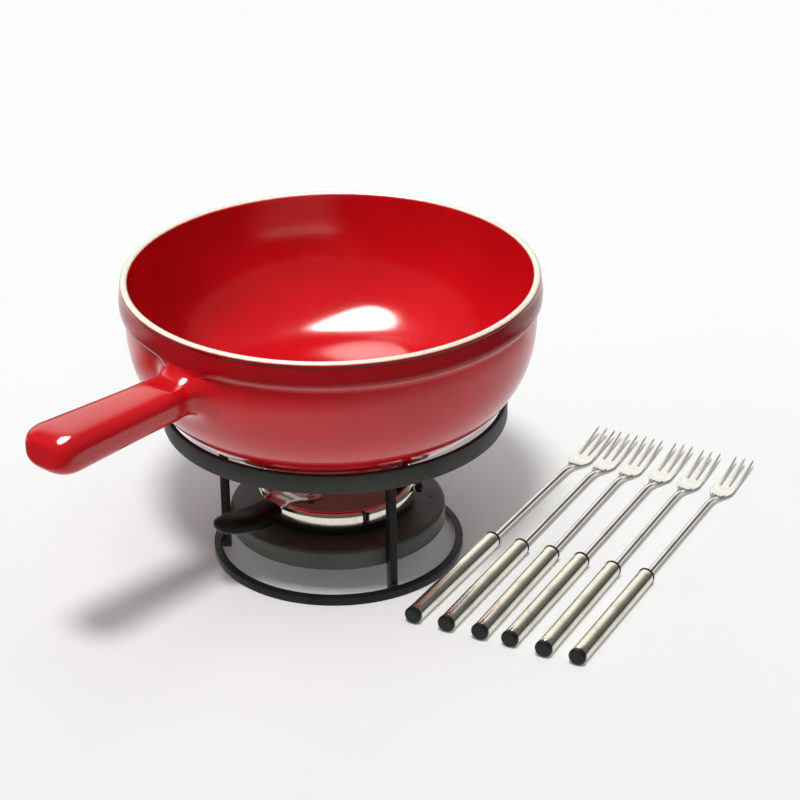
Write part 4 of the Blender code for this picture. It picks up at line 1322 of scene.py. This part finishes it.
CAP = fillet([(9.0, 0), (9.0, PLUG_R), (TUBE_START - 0.3, PLUG_R), (TUBE_START - 0.3, 5.2),
              (0.9, 5.2), (0.0, 4.3), (0.0, 0)], [0, 0.3, 0.1, 0.2, 0.5, 0.7, 0], 5)
COLLAR_BORE = SHAFT_R + 0.22
COLLAR = fillet([(TUBE_END - 7.0, COLLAR_BORE), (TUBE_END - 7.0, PLUG_R),
                 (TUBE_END + 0.3, PLUG_R), (TUBE_END + 0.3, 5.25), (TUBE_END + 1.5, 5.25),
                 (TUBE_END + 2.1, 4.6), (TUBE_END + 2.1, COLLAR_BORE)],
                [0, 0.3, 0.1, 0.3, 0.4, 0.4, 0.1], 4)


def build_fork(n, x, y, heading):
    matrix = (Matrix.Translation((STAND_X + x * MM, STAND_Y + y * MM, 0.0))
              @ Matrix.Rotation(math.radians(heading), 4, "Z"))
    body = f"fork_{n}"
    hammered = n != 1
    piece = add_piece(f"prong_piece_{n}", prongs(hammered), body, FORK_STEEL,
                      f"{body}_prongs", sharp=28, matrix=matrix)
    attribute = piece.data.attributes.new("hammered", "FLOAT", "POINT")
    attribute.data.foreach_set("value", [float(hammered)] * len(piece.data.vertices))
    add_piece(f"grip_tube_{n}", handle_tube(), body, TUBE_STEEL,
              f"{body}_handle", sharp=35, matrix=matrix)
    add_piece(f"end_cap_{n}", along_x(CAP), body, BLACK, f"{body}_cap",
              sharp=40, matrix=matrix)
    add_piece(f"front_collar_{n}", along_x(COLLAR), body, BLACK,
              f"{body}_collar", sharp=40, matrix=matrix)


for number, fork in enumerate(FORKS, 1):
    build_fork(number, *fork)


# ================================================================== stage
def floor_material():
    """Pale sheet. Glossy rays see a glow in its place, a painted reflection that ends a little way
    round the set, as a lit table would.
    """
    m = new_material("floor")
    colour = m.ramp(m.noise(scale=3.0, detail=3.0, rough=0.5),
                    [(0.3, (0.815, 0.822, 0.822)), (0.7, (0.84, 0.847, 0.847))])
    y = m.split(m.object_co)["Y"]
    # painted shade: the sheet darkens towards the front
    colour = m.mix(m.remap(y, to=(0.15, 0.0), over=(-0.45, 0.45)), colour, (0.0, 0.0, 0.0))
    length = m.node("ShaderNodeVectorMath", operation="LENGTH")
    m.feed(length.inputs[0], m.object_co)
    # painted reflection: glossy rays see an unshaded glow instead of the lit sheet, pale near the
    # set and dark beyond
    table = m.math("MAXIMUM",
                   m.remap(length.outputs["Value"], to=(1.0, 0.0), over=(0.31, 0.41)),
                   m.remap(y, to=(0.0, 1.0), over=(0.12, 0.24)))
    incoming = m.split(m.node("ShaderNodeNewGeometry").outputs["Incoming"])
    table = m.times(table, m.remap(incoming["Z"], to=(0.10, 1.0), over=(0.06, 0.34)))
    glow = m.node("ShaderNodeEmission")
    m.feed(glow.inputs["Strength"], 1.03)
    m.feed(glow.inputs["Color"], m.mix(table, (0.05, 0.05, 0.05), colour))
    rough = m.remap(m.noise(scale=60.0, detail=3.0, rough=0.5), to=(0.55, 0.7))
    grain = m.noise(scale=700.0, detail=3.0, rough=0.6)
    m.surface(Base_Color=colour, Roughness=rough, Specular_IOR_Level=0.25,
              Normal=m.bump(grain, strength=0.03, distance=0.0002))
    m.switch_for_glossy(m.principled, glow, "Material Output")
    return m.owner


def build_floor():
    mesh = bpy.data.meshes.new("floor_sheet")
    bm = bmesh.new()
    bmesh.ops.create_grid(bm, x_segments=1, y_segments=1, size=9.0)
    bm.to_mesh(mesh)
    bm.free()
    ob = bpy.data.objects.new("floor_sheet", mesh)
    bpy.context.scene.collection.objects.link(ob)
    mesh.materials.append(floor_material())
    return ob


def build_world():
    """Even white light; reflections see a dim room with a lit backdrop behind the set."""
    world = bpy.data.worlds.new("studio")
    scene.world = world
    m = Graph(world)
    ambient = m.tree.nodes["Background"]
    m.feed(ambient.inputs["Color"], (1.0, 1.0, 1.0))
    m.feed(ambient.inputs["Strength"], 0.27)
    direction = m.split(m.coords["Generated"])
    backdrop = m.remap(direction["Y"], to=(0.125, 1.06), over=(0.52, 0.82),
                       interpolation="SMOOTHSTEP")
    above_horizon = m.remap(direction["Z"], to=(0.12, 1.0), over=(0.04, 0.24),
                            interpolation="SMOOTHSTEP")
    room = m.node("ShaderNodeBackground")
    m.feed(room.inputs["Color"], (1.0, 0.99, 0.97))
    m.feed(room.inputs["Strength"], m.times(backdrop, above_horizon))
    m.switch_for_glossy(ambient, room, "World Output")


scene = bpy.context.scene
floor = build_floor()
build_world()


# ================================================================== lights
def add_sun(name, toward, energy, spread, colour):
    """A sun shining from the direction `toward`, unseen in reflections; spread in degrees."""
    light = bpy.data.lights.new(name, "SUN")
    light.energy = energy
    light.angle = math.radians(spread)
    light.color = colour
    ob = bpy.data.objects.new(name, light)
    scene.collection.objects.link(ob)
    ob.rotation_euler = (-Vector(toward)).to_track_quat("-Z", "Y").to_euler()
    ob.visible_glossy = False
    return ob


def add_top_box():
    """Oval soft box overhead, seen only in reflections."""
    target = Vector((STAND_X, STAND_Y, 0.1))
    light = bpy.data.lights.new("top_box", "AREA")
    light.shape = "ELLIPSE"
    light.size, light.size_y = 0.98, 0.46
    light.energy = 24.5
    light.color = (1.0, 0.985, 0.96)
    ob = bpy.data.objects.new("top_box", light)
    scene.collection.objects.link(ob)
    place = target + Vector((-0.195, 0.09, 1.14))
    ob.location = place
    ob.rotation_euler = (target - place).to_track_quat("-Z", "Y").to_euler()
    ob.visible_diffuse = False


def light_group(name, member):
    group = bpy.data.collections.new(name)
    group.objects.link(member)
    return group


key_sun = add_sun("key_sun", (-0.05, -0.42, 0.90), energy=2.30, spread=10.0,
                  colour=(1.0, 1.0, 0.99))
add_top_box()

# the pot's key comes from further to its left, so that its left inner wall falls into shade
pot_sun = add_sun("pot_sun", (-0.30, -0.20, 0.93), energy=3.3, spread=20.0,
                  colour=(1.0, 1.0, 0.99))
only_pot = light_group("lit_by_pot_sun", pot_shell)
not_pot = light_group("not_lit_by_key_sun", pot_shell)
not_pot.collection_objects[0].light_linking.link_state = "EXCLUDE"
pot_sun.light_linking.receiver_collection = only_pot
key_sun.light_linking.receiver_collection = not_pot
UNREFLECTED = ("prong_piece", "grip_tube", "end_cap", "front_collar", "strap_channel")
for ob in bpy.data.objects:
    if ob.name.startswith(UNREFLECTED):
        ob.visible_glossy = False

# weak fill on the floor alone, unshadowed by the set, so that it reaches under the pot
floor_fill = add_sun("floor_fill", (0.0, -0.15, 1.0), energy=0.88, spread=40.0,
                     colour=(0.965, 1.0, 1.0))
floor_fill.light_linking.receiver_collection = light_group("lit_by_floor_fill", floor)
floor_fill.light_linking.blocker_collection = light_group("blocks_floor_fill", floor)

# ================================================================== camera, in front and above
camera_data = bpy.data.cameras.new("camera")
camera_data.sensor_width = 36.0
camera_data.lens = 134.55
camera_data.clip_end = 50.0
camera = bpy.data.objects.new("camera", camera_data)
scene.collection.objects.link(camera)
pitch, roll = math.radians(26.67), math.radians(-0.88)
camera.matrix_world = (Matrix.Translation((STAND_X + 0.0382, STAND_Y - 1.575, 0.887))
                       @ Matrix.Rotation(math.pi / 2 - pitch, 4, "X")
                       @ Matrix.Rotation(roll, 4, "Z"))
scene.camera = camera
scene.view_settings.view_transform = "Standard"
scene.view_settings.exposure = 0.0
